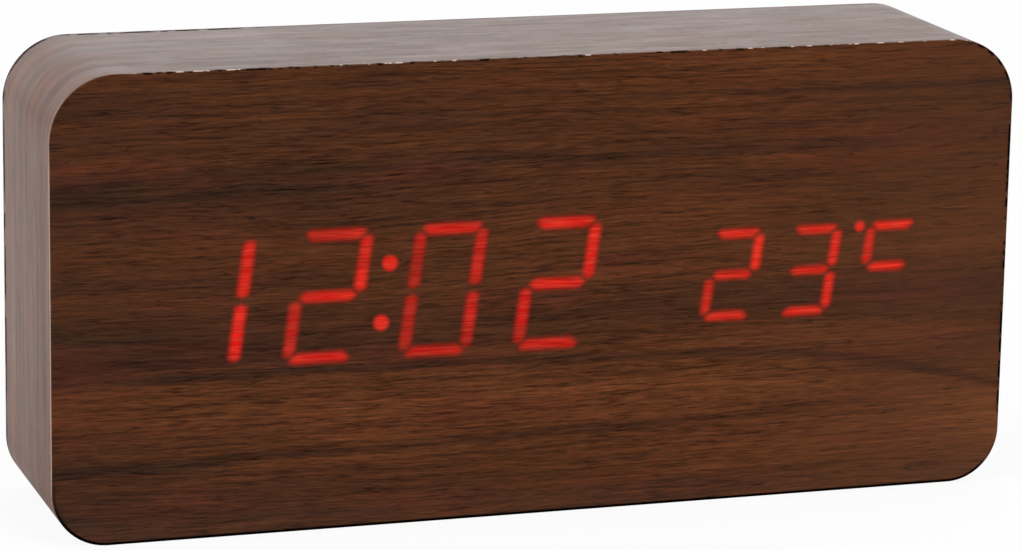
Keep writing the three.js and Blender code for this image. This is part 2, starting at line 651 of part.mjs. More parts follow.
// Chips: a moulded body with gull-wing leads, lying on y = 0
function chip() {
  const middle = CHIP_HEIGHT / 2;
  const edge = CHIP_WIDTH / 2;
  const bend = edge + LEAD_REACH - LEAD_FOOT - LEAD_THICKNESS;
  const profile = [
    [middle + LEAD_THICKNESS, edge - LEAD_THICKNESS],
    [middle + LEAD_THICKNESS, bend],
    [LEAD_THICKNESS, bend + LEAD_THICKNESS],
    [LEAD_THICKNESS, edge + LEAD_REACH],
    [0, edge + LEAD_REACH],
    [0, bend],
    [middle, bend - LEAD_THICKNESS],
    [middle, edge - LEAD_THICKNESS],
  ];
  const count = Math.floor(CHIP_LENGTH / LEAD_PITCH);
  const parts = [box(-CHIP_LENGTH / 2, CHIP_LENGTH / 2, CHIP_STANDOFF, CHIP_HEIGHT, -edge, edge)];
  for (let i = 0; i < count; i += 1) {
    const x = (i - (count - 1) / 2) * LEAD_PITCH;
    for (const side of [1, -1]) {
      const lead = outlineOf(profile.map(([y, z]) => [y, z * side]));
      parts.push(across(lead, x - LEAD_WIDTH / 2, x + LEAD_WIDTH / 2));
    }
  }
  return combine(parts);
}

const chipShape = chip();
place('driver_chip', chipShape, finish(CHIP_BLACK, 0.5), DRIVER_CHIP_X, DISPLAY_BOARD_BACK_Y,
  displayBoardHeight * DRIVER_CHIP_RISE_SHARE);

// Rear cover's parts: the bay is joined to the plate, then everything is cut from above or below
const controlFixings = corners(
  CONTROL_BOARD_WIDTH / 2 - CONTROL_FIXING_INSET, CONTROL_BOARD_HEIGHT / 2 - CONTROL_FIXING_INSET,
).map(([x, z]) => [x + CONTROL_X, z + CONTROL_BOARD_Z]);
const [pegLow, screwLow, pegHigh, screwHigh] = controlFixings;
const pegPlaces = [pegLow, pegHigh];
const controlScrewPlaces = [screwHigh, screwLow];
const buttonNames = ['set', 'up', 'down'];
const onBoard = (riseShare) => CONTROL_BOARD_Z + CONTROL_BOARD_HEIGHT * riseShare;
const buttonPlaces = buttonNames.map((name, i) => [
  CONTROL_X + (i - (buttonNames.length - 1) / 2) * BUTTON_PITCH, onBoard(BUTTON_RISE_SHARE)]);
const buzzerX = CONTROL_X + BUZZER_X;
const buzzerZ = onBoard(BUZZER_RISE_SHARE);
const microphoneX = CONTROL_X + MICROPHONE_X;
const microphoneZ = onBoard(MICROPHONE_RISE_SHARE);
const sensorX = CONTROL_X + SENSOR_X;
const sensorZ = onBoard(SENSOR_RISE_SHARE);
const jackX = CONTROL_X + JACK_X;
const cellPlaces = Array.from({ length: CELL_COUNT }, (unused, i) => (
  BAY_BOTTOM + FIT + CELL_DIAMETER / 2 + i * CELL_PITCH));

const throughCover = (radius, x, z, sides) => barY(
  radius, COVER_INNER_Y - OVERRUN, COVER_Y + OVERRUN, x, z, sides);

const bayBlock = box(
  BAY_LEFT - BAY_WALL, BAY_RIGHT + BAY_WALL, BAY_UNDERSIDE_Y, COVER_INNER_Y + COVER_THICKNESS / 2,
  BAY_BOTTOM - BAY_WALL, BAY_TOP + BAY_WALL);
const posts = controlFixings.map(([x, z]) => barY(
  POST_DIAMETER / 2, CONTROL_BACK_Y, COVER_INNER_Y + COVER_THICKNESS / 2, x, z, SMALL_SIDES));
const pegs = pegPlaces.map(([x, z]) => barY(
  PEG_DIAMETER / 2, CONTROL_FRONT_Y - BOARD_THICKNESS / 2, CONTROL_BACK_Y + OVERRUN, x, z, SMALL_SIDES));

const ridgeTop = BAY_FLOOR_Y + CELL_DIAMETER * CRADLE_SHARE;
const cellCavity = box(BAY_LEFT, BAY_RIGHT, ridgeTop, DOOR_INNER_Y, BAY_BOTTOM, CELL_TOP);
const cradles = cellPlaces.map((z) => barX(CELL_DIAMETER / 2 + FIT, BAY_LEFT, BAY_RIGHT, CELL_Y, z));
const latchCavity = box(
  BAY_LEFT, BAY_RIGHT, BAY_FLOOR_Y, DOOR_INNER_Y, CELL_TOP + RIB_THICKNESS, BAY_TOP);
const doorOpening = plate(
  roundedOutline(
    BAY_LENGTH + 2 * BAY_REBATE, BAY_HEIGHT + 2 * BAY_REBATE, DOOR_CORNER + FIT, BAY_X, 0),
  DOOR_INNER_Y - SEAT_GAP, COVER_Y + OVERRUN, SMALL_STEPS);

// Contact pockets in both end walls: one plate wide for a terminal, two rows wide for a bridge
const contactBottom = BAY_FLOOR_Y + FIT;
const terminalWidth = CELL_DIAMETER * CONTACT_WIDTH_SHARE;
const bridgeWidth = terminalWidth + CELL_PITCH;
const [firstCell, secondCell, thirdCell] = cellPlaces;
const contactPlaces = [
  { name: 'battery_contact_positive', end: 1, cells: [[firstCell, false]], tail: true },
  { name: 'battery_bridge_1', end: 1, cells: [[secondCell, true], [thirdCell, false]], tail: false },
  { name: 'battery_bridge_2', end: -1, cells: [[firstCell, true], [secondCell, false]], tail: false },
  { name: 'battery_contact_negative', end: -1, cells: [[thirdCell, true]], tail: true },
];
const endOf = (end) => (end > 0 ? BAY_RIGHT : BAY_LEFT);
function endBox(end, from, to, front, back, bottom, top) {
  const wall = endOf(end);
  const inner = wall + end * from;
  const outer = wall + end * to;
  return box(Math.min(inner, outer), Math.max(inner, outer), front, back, bottom, top);
}
const contactWidth = (contact) => (contact.cells.length > 1 ? bridgeWidth : terminalWidth);
const contactMiddle = (contact) => contact.cells.reduce((sum, [z]) => sum + z, 0) / contact.cells.length;
const contactPockets = contactPlaces.map((contact) => {
  const reach = contactWidth(contact) / 2 + FIT;
  const middle = contactMiddle(contact);
  return endBox(contact.end, -SEAT_GAP, CONTACT_THICKNESS + SEAT_GAP, BAY_FLOOR_Y, DOOR_INNER_Y,
    middle - reach, middle + reach);
});
const tailSlots = contactPlaces.filter((contact) => contact.tail).map((contact) => {
  const reach = TAIL_WIDTH / 2 + FIT;
  const middle = contactMiddle(contact);
  return endBox(contact.end, -FIT, CONTACT_THICKNESS + FIT, BAY_UNDERSIDE_Y - OVERRUN, BAY_FLOOR_Y + OVERRUN,
    middle - reach, middle + reach);
});

// The door's toes swing in these notches of the bay's lower wall, its latch in one of the upper wall
const toeBack = COVER_INNER_Y - FIT;
const toeFront = toeBack - TOE_THICKNESS;
const toeSweep = Math.hypot(COVER_Y - toeFront, Math.max(TOE_REACH, TOE_ROOT));
const toePlaces = [BAY_X - TOE_SPACING / 2, BAY_X + TOE_SPACING / 2];
const toeNotches = toePlaces.map((x) => box(
  x - TOE_WIDTH / 2 - FIT, x + TOE_WIDTH / 2 + FIT, COVER_Y - toeSweep - FIT, DOOR_INNER_Y,
  BAY_BOTTOM - BAY_WALL - OVERRUN, BAY_BOTTOM + OVERRUN));
const nibBack = COVER_INNER_Y - FIT;
const nibFront = nibBack - LATCH_NIB;
const latchNotch = box(
  BAY_X - LATCH_WIDTH / 2 - FIT, BAY_X + LATCH_WIDTH / 2 + FIT, nibFront - 2 * FIT, DOOR_INNER_Y,
  BAY_TOP - OVERRUN, BAY_TOP + BAY_REBATE);
const fingerDish = barY(
  FINGER_DISH_RADIUS, COVER_Y - FINGER_DISH_DEPTH, COVER_Y + OVERRUN, BAY_X, BAY_TOP + BAY_REBATE - OVERRUN);

const sinkStart = COVER_Y - COVER_SCREW_HEAD_HEIGHT - SEAT_GAP;
const sinkRadius = COVER_SCREW_HEAD / 2 + 2 * SEAT_GAP;
const coverScrewHoles = coverScrewPlaces.flatMap(([x, z]) => [
  throughCover(coverScrewHole, x, z, SMALL_SIDES),
  barY(coverScrewHole, sinkStart, COVER_Y, x, z, SMALL_SIDES, sinkRadius),
]);
const buttonHoles = buttonPlaces.map(([x, z]) => throughCover(BUTTON_DIAMETER / 2 + FIT, x, z));
const soundHoles = Array.from({ length: SOUND_HOLE_COUNT }, (unused, i) => {
  const angle = i * Math.PI * 2 / SOUND_HOLE_COUNT;
  const x = buzzerX + Math.cos(angle) * SOUND_HOLE_RING;
  const z = buzzerZ + Math.sin(angle) * SOUND_HOLE_RING;
  return throughCover(SOUND_HOLE_DIAMETER / 2, x, z, WIRE_SIDES);
});
const vents = Array.from({ length: VENT_COUNT }, (unused, i) => {
  const z = sensorZ + (i - (VENT_COUNT - 1) / 2) * VENT_PITCH;
  return plate(roundedOutline(VENT_LENGTH, VENT_WIDTH, VENT_WIDTH / 2 - SEAT_GAP, sensorX, z),
    COVER_INNER_Y - OVERRUN, COVER_Y + OVERRUN, SMALL_STEPS);
});
const pilotHoles = controlScrewPlaces.map(([x, z]) => barY(
  boardScrewHole, CONTROL_BACK_Y - OVERRUN, CONTROL_FRONT_Y + BOARD_SCREW_LENGTH + FIT, x, z, SMALL_SIDES));

const microphoneHole = throughCover(SOUND_HOLE_DIAMETER / 2, microphoneX, microphoneZ, WIRE_SIDES);
const jackHole = throughCover(JACK_BARREL_DIAMETER / 2 + SEAT_GAP, jackX, JACK_Z);
const bayCuts = [
  doorOpening, cellCavity, ...cradles, latchCavity, ...contactPockets, ...tailSlots, ...toeNotches,
  latchNotch,
];
place('rear_cover', combine(
  [plate(caseOutline(COVER_INSET), COVER_INNER_Y, COVER_Y, SMALL_STEPS), bayBlock, ...posts, ...pegs],
  [
    ...bayCuts, fingerDish, ...coverScrewHoles, ...buttonHoles, ...soundHoles, microphoneHole, ...vents,
    ...pilotHoles, jackHole,
  ]), finish(BLACK_PLASTIC, 0.55));

const coverScrew = screw(
  COVER_SCREW_DIAMETER, COVER_SCREW_LENGTH, COVER_SCREW_HEAD, COVER_SCREW_HEAD_HEIGHT, true);
coverScrewPlaces.forEach(([x, z], i) => {
  place(`cover_screw_${i + 1}`, coverScrew, finish(STEEL, 0.35, 0.9), x, COVER_Y, z);
});

// Battery door: its toes hook under the cover's plate, its bent latch springs at the top
const latchNear = DOOR_TOP - LATCH_SET;
const latchMiddle = latchNear - LATCH_THICKNESS - LATCH_BEND;
const latchFar = latchMiddle - LATCH_BEND - LATCH_THICKNESS;
const latchBendY = COVER_Y - LATCH_DEPTH;
const latch = new THREE.Shape();
latch.moveTo(COVER_Y, latchFar);
latch.lineTo(latchBendY, latchFar);
latch.absarc(latchBendY, latchMiddle, LATCH_BEND + LATCH_THICKNESS, -Math.PI / 2, -Math.PI * 3 / 2, true);
latch.lineTo(nibFront, latchNear);
latch.lineTo(nibBack, latchNear + LATCH_NIB);
latch.lineTo(nibBack, latchNear);
latch.lineTo(COVER_Y - LATCH_PAD, latchNear);
latch.lineTo(COVER_Y - LATCH_PAD, DOOR_TOP);
latch.lineTo(COVER_Y, DOOR_TOP);
latch.lineTo(COVER_Y, latchNear - LATCH_THICKNESS);
latch.lineTo(latchBendY, latchNear - LATCH_THICKNESS);
latch.absarc(latchBendY, latchMiddle, LATCH_BEND, Math.PI / 2, Math.PI * 3 / 2, false);
latch.lineTo(COVER_Y, latchFar + LATCH_THICKNESS);

const toeProfile = outlineOf([
  [DOOR_INNER_Y + DOOR_THICKNESS / 2, DOOR_BOTTOM + TOE_ROOT],
  [toeFront, DOOR_BOTTOM + TOE_ROOT],
  [toeFront, DOOR_BOTTOM - TOE_REACH],
  [toeBack, DOOR_BOTTOM - TOE_REACH],
  [toeBack, DOOR_BOTTOM],
  [DOOR_INNER_Y + DOOR_THICKNESS / 2, DOOR_BOTTOM],
]);
const ridges = Array.from({ length: GRIP_RIDGE_COUNT }, (unused, i) => {
  const z = latchFar - (i + 1) * GRIP_RIDGE_PITCH;
  return box(BAY_X - GRIP_RIDGE_LENGTH / 2, BAY_X + GRIP_RIDGE_LENGTH / 2, DOOR_INNER_Y + DOOR_THICKNESS / 2,
    COVER_Y + GRIP_RIDGE, z - GRIP_RIDGE_WIDTH / 2, z + GRIP_RIDGE_WIDTH / 2);
});
const doorOutline = roundedOutline(DOOR_RIGHT - DOOR_LEFT, DOOR_TOP - DOOR_BOTTOM, DOOR_CORNER, BAY_X, 0);
const latchSlot = box(
  BAY_X - LATCH_WIDTH / 2 - FIT, BAY_X + LATCH_WIDTH / 2 + FIT, DOOR_INNER_Y - OVERRUN, COVER_Y + OVERRUN,
  latchFar + LATCH_THICKNESS, DOOR_TOP + OVERRUN);
const doorPlate = combine([plate(doorOutline, DOOR_INNER_Y, COVER_Y, SMALL_STEPS)], [latchSlot]);
place('battery_door', combine([
  doorPlate,
  across(latch, BAY_X - LATCH_WIDTH / 2, BAY_X + LATCH_WIDTH / 2, SMALL_STEPS),
  ...toePlaces.map((x) => across(toeProfile, x - TOE_WIDTH / 2, x + TOE_WIDTH / 2)),
  ...ridges,
]), finish(BLACK_PLASTIC, 0.55));

// Cells, their nubs towards the contact with the dimple
const nubRadius = CELL_DIAMETER * CELL_NUB_SHARE / 2;
const cellProfile = [
  [0, 0],
  [CELL_DIAMETER / 2 - CELL_EDGE, 0],
  [CELL_DIAMETER / 2, CELL_EDGE],
  [CELL_DIAMETER / 2, CELL_LENGTH - CELL_NUB_LENGTH - CELL_EDGE],
  [CELL_DIAMETER / 2 - CELL_EDGE, CELL_LENGTH - CELL_NUB_LENGTH],
  [nubRadius, CELL_LENGTH - CELL_NUB_LENGTH],
  [nubRadius, CELL_LENGTH],
  [0, CELL_LENGTH],
].map(([x, y]) => new THREE.Vector2(x, y));
const cell = combine([new THREE.LatheGeometry(cellProfile, ROUND_SIDES)]).rotateZ(-Math.PI / 2);
cellPlaces.forEach((z, i) => {
  const forward = i % 2 === 0;
  const start = forward ? BAY_LEFT + SPRING_LENGTH + FIT : BAY_RIGHT - SPRING_LENGTH - FIT;
  const mesh = place(`battery_cell_${i + 1}`, cell, finish(CELL_SKIN, 0.35, 0.3), start, CELL_Y, z);
  if (!forward) mesh.rotation.z = Math.PI;
});

// A contact's wound spring grows narrower from its plate to the cell, along +X from the origin
function contactSpring() {
  const baseRadius = CELL_DIAMETER * SPRING_BASE_SHARE / 2;
  const tipRadius = CELL_DIAMETER * SPRING_TIP_SHARE / 2;
  const points = [vector(0, baseRadius, 0), vector(SPRING_WIRE, baseRadius, 0)];
  const count = SPRING_TURNS * SPRING_STEPS;
  const rise = SPRING_LENGTH - 2 * SPRING_WIRE - SPRING_WIRE / 2;
  for (let i = 1; i <= count; i += 1) {
    const share = i / count;
    const angle = share * SPRING_TURNS * Math.PI * 2;
    const radius = THREE.MathUtils.lerp(baseRadius, tipRadius, share);
    points.push(vector(SPRING_WIRE + share * rise, Math.cos(angle) * radius, Math.sin(angle) * radius));
  }
  const last = points[points.length - 1];
  points.push(vector(SPRING_LENGTH - SPRING_WIRE / 2, last.y, last.z));
  return tube(points, SPRING_WIRE, SPRING_SIDES, points.length - 1);
}

for (const contact of contactPlaces) {
  const reach = contactWidth(contact) / 2;
  const middle = contactMiddle(contact);
  const top = contactBottom + CELL_DIAMETER * CONTACT_HEIGHT_SHARE;
  const parts = [
    endBox(contact.end, 0, CONTACT_THICKNESS, contactBottom, top, middle - reach, middle + reach),
  ];
  if (contact.tail) {
    parts.push(endBox(contact.end, 0, CONTACT_THICKNESS, TAIL_Y, contactBottom + OVERRUN,
      middle - TAIL_WIDTH / 2, middle + TAIL_WIDTH / 2));
  }
  for (const [z, negative] of contact.cells) {
    const inward = negative
      ? contactSpring().translate(-CONTACT_THICKNESS / 2, 0, 0)
      : barX(CELL_DIAMETER * DIMPLE_SHARE / 2, -CONTACT_THICKNESS / 2, CONTACT_DIMPLE, 0, 0, SMALL_SIDES);
    if (contact.end > 0) inward.rotateZ(Math.PI);
    parts.push(inward.translate(endOf(contact.end), CELL_Y, z));
  }
  place(contact.name, combine(parts), finish(NICKEL, 0.3, 0.9));
}

// Control board on the cover's posts, with all that it carries on both faces
const controlOutline = roundedOutline(
  CONTROL_BOARD_WIDTH, CONTROL_BOARD_HEIGHT, MODULE_WALL, CONTROL_X, CONTROL_BOARD_Z);
const controlHoles = controlFixings.map(([x, z]) => barY(
  boardScrewHole, CONTROL_FRONT_Y - OVERRUN, CONTROL_BACK_Y + OVERRUN, x, z, SMALL_SIDES));
place('control_board', combine(
  [plate(controlOutline, CONTROL_FRONT_Y, CONTROL_BACK_Y, SMALL_STEPS)], controlHoles),
  finish(BOARD_GREEN, 0.55));
controlScrewPlaces.forEach(([x, z], i) => {
  const name = `control_board_screw_${i + 1}`;
  place(name, boardScrew, finish(STEEL, 0.35, 0.9), x, CONTROL_FRONT_Y, z).rotation.z = Math.PI;
});
place('clock_chip', chipShape, finish(CHIP_BLACK, 0.5), CONTROL_X + CLOCK_CHIP_X, CONTROL_FRONT_Y,
  onBoard(CLOCK_CHIP_RISE_SHARE)).rotation.z = Math.PI;
place('crystal', barX(CRYSTAL_DIAMETER / 2, -CRYSTAL_LENGTH / 2, CRYSTAL_LENGTH / 2, 0, 0, SMALL_SIDES),
  finish(STEEL, 0.3, 0.9), CONTROL_X + CRYSTAL_X, CONTROL_FRONT_Y - SEAT_GAP - CRYSTAL_DIAMETER / 2,
  onBoard(CRYSTAL_RISE_SHARE));
place('buzzer', combine(
  [barY(BUZZER_DIAMETER / 2, 0, BUZZER_HEIGHT)],
  [barY(BUZZER_BORE / 2, BUZZER_HEIGHT - BUZZER_BORE_DEPTH, BUZZER_HEIGHT + OVERRUN, 0, 0, SMALL_SIDES)],
), finish(CHIP_BLACK, 0.5), buzzerX, CONTROL_BACK_Y, buzzerZ);
const portBottom = MICROPHONE_HEIGHT - MICROPHONE_PORT_DEPTH;
place('microphone', combine(
  [barY(MICROPHONE_DIAMETER / 2, 0, MICROPHONE_HEIGHT, 0, 0, SMALL_SIDES)],
  [barY(MICROPHONE_PORT / 2, portBottom, MICROPHONE_HEIGHT + OVERRUN, 0, 0, SMALL_SIDES)],
), finish(STEEL, 0.4, 0.8), microphoneX, CONTROL_BACK_Y, microphoneZ);
place('temperature_sensor', combine([
  new THREE.SphereGeometry(SENSOR_BEAD / 2, WIRE_SIDES, WIRE_SIDES - 2).translate(0, SENSOR_LENGTH, 0),
  ...[-1, 1].map((side) => barY(SENSOR_WIRE / 2, 0, SENSOR_LENGTH, side * SENSOR_SPACING / 2, 0, WIRE_SIDES)),
]), finish(CHIP_BLACK, 0.4), sensorX, CONTROL_BACK_Y, sensorZ);

// Coin cell holder: a cup open towards the front, with a notch to push the cell out
const coinRadius = COIN_DIAMETER / 2;
const cupRadius = coinRadius + FIT + COIN_WALL;
const cupDepth = COIN_FLOOR + SEAT_GAP + COIN_THICKNESS;
const coinX = CONTROL_X + COIN_X;
const coinZ = onBoard(COIN_RISE_SHARE);
place('coin_cell_holder', combine([barY(cupRadius, -cupDepth, 0)], [
  barY(coinRadius + FIT, -cupDepth - OVERRUN, -COIN_FLOOR),
  box(-COIN_NOTCH / 2, COIN_NOTCH / 2, -cupDepth - OVERRUN, -COIN_FLOOR, coinRadius / 2, cupRadius + OVERRUN),
]), finish(CHIP_BLACK, 0.6), coinX, CONTROL_FRONT_Y, coinZ);
place('coin_cell', combine([
  barY(coinRadius, 0, COIN_THICKNESS - COIN_STEP),
  barY(coinRadius * COIN_CAP_SHARE, 0, COIN_THICKNESS),
]), finish(STEEL, 0.3, 0.9), coinX, CONTROL_FRONT_Y - cupDepth, coinZ);

// Three push buttons, each on the plunger of its switch
const plungerTop = CONTROL_BACK_Y + SWITCH_HEIGHT + PLUNGER_STAND;
const flangeTop = COVER_INNER_Y - FIT - plungerTop;
const buttonTop = COVER_Y + BUTTON_STAND - plungerTop;
const buttonProfile = [
  [0, 0],
  [BUTTON_DIAMETER / 2, 0],
  [BUTTON_DIAMETER / 2, flangeTop - BUTTON_FLANGE_THICKNESS],
  [BUTTON_FLANGE_DIAMETER / 2, flangeTop - BUTTON_FLANGE_THICKNESS],
  [BUTTON_FLANGE_DIAMETER / 2, flangeTop],
  [BUTTON_DIAMETER / 2, flangeTop],
  [BUTTON_DIAMETER / 2, buttonTop - BUTTON_CROWN],
  [BUTTON_DIAMETER / 2 - BUTTON_CROWN, buttonTop],
  [0, buttonTop],
].map(([x, y]) => new THREE.Vector2(x, y));
const button = combine([new THREE.LatheGeometry(buttonProfile, ROUND_SIDES)]);
const boreBottom = SWITCH_HEIGHT - PLUNGER_HIDDEN - BUTTON_TRAVEL - FIT;
const switchBody = combine(
  [box(-SWITCH_SIZE / 2, SWITCH_SIZE / 2, 0, SWITCH_HEIGHT, -SWITCH_SIZE / 2, SWITCH_SIZE / 2)],
  [barY(PLUNGER_DIAMETER / 2 + FIT, boreBottom, SWITCH_HEIGHT + OVERRUN, 0, 0, SMALL_SIDES)]);
const plunger = barY(PLUNGER_DIAMETER / 2, -PLUNGER_HIDDEN - PLUNGER_STAND, 0, 0, 0, SMALL_SIDES);
buttonPlaces.forEach(([x, z], i) => {
  place(`${buttonNames[i]}_switch`, switchBody, finish(CHIP_BLACK, 0.5), x, CONTROL_BACK_Y, z);
  place(`${buttonNames[i]}_plunger`, plunger, finish(CHIP_BLACK, 0.4), x, plungerTop, z);
  place(`${buttonNames[i]}_button`, button, finish(BLACK_PLASTIC, 0.45), x, plungerTop, z);
});

// Power inlet: a panel socket with its nut behind the cover
const jackEnd = COVER_Y - JACK_LENGTH;
const jackFace = COVER_Y + JACK_FLANGE_THICKNESS;
const boreEnd = jackFace - JACK_BORE_DEPTH;
const tagPlaces = [jackX - JACK_TAG_SPACING / 2, jackX + JACK_TAG_SPACING / 2];
const tags = tagPlaces.map((x) => box(
  x - JACK_TAG_THICKNESS / 2, x + JACK_TAG_THICKNESS / 2, jackEnd - JACK_TAG_LENGTH, jackEnd + OVERRUN,
  JACK_Z - JACK_TAG_WIDTH / 2, JACK_Z + JACK_TAG_WIDTH / 2));
place('dc_jack', combine([
  barY(JACK_FLANGE_DIAMETER / 2, COVER_Y, jackFace, jackX, JACK_Z),
  barY(JACK_BARREL_DIAMETER / 2, jackEnd, COVER_Y + JACK_FLANGE_THICKNESS / 2, jackX, JACK_Z),
  ...tags,
], [barY(JACK_BORE_DIAMETER / 2, boreEnd, jackFace + OVERRUN, jackX, JACK_Z)]), finish(CHIP_BLACK, 0.4));
const jackPin = barY(JACK_PIN_DIAMETER / 2, boreEnd, jackFace - JACK_PIN_SHY, jackX, JACK_Z, SMALL_SIDES);
place('dc_jack_pin', jackPin, finish(NICKEL, 0.25, 0.95));
const nutFront = COVER_INNER_Y - JACK_NUT_THICKNESS;
const nutHole = JACK_BARREL_DIAMETER / 2 + SEAT_GAP;
place('dc_jack_nut', combine(
  [barY(JACK_NUT_SIZE / Math.sqrt(3), nutFront, COVER_INNER_Y, jackX, JACK_Z, 6)],
  [barY(nutHole, nutFront - OVERRUN, COVER_INNER_Y + OVERRUN, jackX, JACK_Z)],
), finish(NICKEL, 0.3, 0.9));

// Connectors on both boards and the ribbon between them, its ends in their slots
const slotDepth = CONNECTOR_WIDTH / 3;
const slotReach = RIBBON_THICKNESS / 2 + FIT;
const connectorBody = box(
  -CONNECTOR_WIDTH / 2, CONNECTOR_WIDTH / 2, 0, CONNECTOR_HEIGHT,
  -CONNECTOR_LENGTH / 2, CONNECTOR_LENGTH / 2);
const connectorSlot = box(
  CONNECTOR_WIDTH / 2 - slotDepth, CONNECTOR_WIDTH / 2 + OVERRUN,
  CONNECTOR_HEIGHT / 2 - slotReach, CONNECTOR_HEIGHT / 2 + slotReach,
  -RIBBON_WIDTH / 2 - FIT, RIBBON_WIDTH / 2 + FIT);
const connector = combine([connectorBody], [connectorSlot]);
const controlConnectorX = CONTROL_LEFT + CONNECTOR_X;
const displayConnectorX = controlConnectorX - CONNECTOR_SHIFT;
place('display_connector', connector, finish(CONNECTOR_WHITE, 0.5), displayConnectorX, DISPLAY_BOARD_BACK_Y,
  CONTROL_BOARD_Z);
place('control_connector', connector, finish(CONNECTOR_WHITE, 0.5), controlConnectorX, CONTROL_FRONT_Y,
  CONTROL_BOARD_Z).rotation.z = Math.PI;
const slotEnd = CONNECTOR_WIDTH / 2 - slotDepth + FIT;
const slotRise = CONNECTOR_HEIGHT / 2;
const ribbonStart = new THREE.Vector2(displayConnectorX + slotEnd, DISPLAY_BOARD_BACK_Y + slotRise);
const ribbonEnd = new THREE.Vector2(controlConnectorX - slotEnd, CONTROL_FRONT_Y - slotRise);
const ribbonPull = (ribbonEnd.x - ribbonStart.x) / 2;
const ribbonPath = new THREE.CubicBezierCurve(
  ribbonStart, new THREE.Vector2(ribbonStart.x + ribbonPull, ribbonStart.y),
  new THREE.Vector2(ribbonEnd.x - ribbonPull, ribbonEnd.y), ribbonEnd);
const ribbonSide = (offset) => Array.from({ length: SMALL_SIDES + 1 }, (unused, i) => {
  const share = i / SMALL_SIDES;
  const point = ribbonPath.getPoint(share);
  const along = ribbonPath.getTangent(share);
  return [point.x - along.y * offset, point.y + along.x * offset];
});
const ribbonOutline = outlineOf(
  [...ribbonSide(-RIBBON_THICKNESS / 2), ...ribbonSide(RIBBON_THICKNESS / 2).reverse()]);
place('ribbon_cable', extrude(ribbonOutline, RIBBON_WIDTH), finish(RIBBON_GREY, 0.6), 0, 0,
  CONTROL_BOARD_Z - RIBBON_WIDTH / 2);

// Wires: each runs level under the bay, then turns up to its pad on the control board
const padZ = CONTROL_BOARD_Z - CONTROL_BOARD_HEIGHT / 2 + WIRE_DIAMETER;
function wire(start, heading, padX, routeShares) {
  const stub = start.clone().addScaledVector(heading, WIRE_DIAMETER);
  const route = routeShares.map(([acrossShare, upShare]) => vector(
    THREE.MathUtils.lerp(start.x, padX, acrossShare), WIRE_Y, THREE.MathUtils.lerp(start.z, padZ, upShare)));
  const turn = vector(padX, CONTROL_FRONT_Y - 2 * WIRE_DIAMETER, padZ);
  const pad = vector(padX, CONTROL_FRONT_Y - SEAT_GAP, padZ);
  const points = [start, stub, ...route, turn, pad];
  return tube(points, WIRE_DIAMETER, WIRE_SIDES, (points.length - 1) * WIRE_STEPS_PER_POINT);
}
const redWireShares = [[0.5, 0.15], [0.8, 0.5]];
const blackWireShares = [[0.3, 0.5], [0.62, 1.1], [0.88, 1.25]];
const jackWireShares = [[0, 0.6]];
const redStart = vector(BAY_RIGHT + CONTACT_THICKNESS + SEAT_GAP, WIRE_Y, firstCell);
const blackStart = vector(BAY_LEFT + SEAT_GAP, WIRE_Y, thirdCell);
place('battery_wire_red', wire(redStart, vector(1, 0, 0), buzzerX + WIRE_DIAMETER, redWireShares),
  finish(WIRE_RED, 0.5));
place('battery_wire_black', wire(blackStart, vector(1, 0, 0), buzzerX - 2 * WIRE_DIAMETER, blackWireShares),
  finish(WIRE_BLACK, 0.5));
['red', 'black'].forEach((colour, i) => {
  const start = vector(tagPlaces[i], jackEnd - JACK_TAG_LENGTH / 2, JACK_Z + JACK_TAG_WIDTH / 2 + SEAT_GAP);
  place(`jack_wire_${colour}`, wire(start, vector(0, 0, 1), tagPlaces[i], jackWireShares),
    finish(colour === 'red' ? WIRE_RED : WIRE_BLACK, 0.5));
});

export default clock;
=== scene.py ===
import math

import bmesh
import bpy
from mathutils import Matrix, Vector


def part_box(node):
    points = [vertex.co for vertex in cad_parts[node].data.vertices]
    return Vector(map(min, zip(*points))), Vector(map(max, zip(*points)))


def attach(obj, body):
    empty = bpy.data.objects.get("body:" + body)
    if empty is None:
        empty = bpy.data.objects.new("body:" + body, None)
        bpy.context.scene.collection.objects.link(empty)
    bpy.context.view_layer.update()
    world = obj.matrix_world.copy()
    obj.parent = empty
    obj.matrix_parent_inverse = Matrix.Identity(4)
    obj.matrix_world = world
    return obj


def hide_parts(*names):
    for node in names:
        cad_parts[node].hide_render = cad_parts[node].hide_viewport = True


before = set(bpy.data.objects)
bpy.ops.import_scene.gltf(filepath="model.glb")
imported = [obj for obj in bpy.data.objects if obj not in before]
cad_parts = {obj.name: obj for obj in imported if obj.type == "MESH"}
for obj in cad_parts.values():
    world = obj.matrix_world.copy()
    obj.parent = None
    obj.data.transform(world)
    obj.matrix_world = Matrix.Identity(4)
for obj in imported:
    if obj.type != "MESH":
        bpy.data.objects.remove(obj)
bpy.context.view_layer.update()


# The photographer's place: a long lens a good arm's length away, a little to the clock's left and above it.
# It hardly narrows the far end, and the frame is tipped by one degree.
view_yaw, view_pitch, view_roll = -0.317559, 0.231426, 0.017454
view_place = (-0.195966, -0.596705, 0.181023)
lens_mm, sensor_mm, nearest = 148.52, 36, 0.01
view_right = Vector((math.cos(view_yaw), math.sin(view_yaw), 0))
view_ahead = Vector((
    -math.sin(view_yaw) * math.cos(view_pitch),
    math.cos(view_yaw) * math.cos(view_pitch),
    -math.sin(view_pitch),
))
view_up = view_right.cross(view_ahead)
rolled_right = view_right * math.cos(view_roll) + view_up * math.sin(view_roll)
rolled_up = view_up * math.cos(view_roll) - view_right * math.sin(view_roll)
camera_data = bpy.data.cameras.new("camera")
camera_data.lens = lens_mm
camera_data.sensor_width = sensor_mm
camera_data.clip_start = nearest
camera = bpy.data.objects.new("camera", camera_data)
camera.matrix_world = (
    Matrix.Translation(view_place)
    @ Matrix((rolled_right, rolled_up, -view_ahead)).transposed().to_4x4()
)
bpy.context.scene.collection.objects.link(camera)
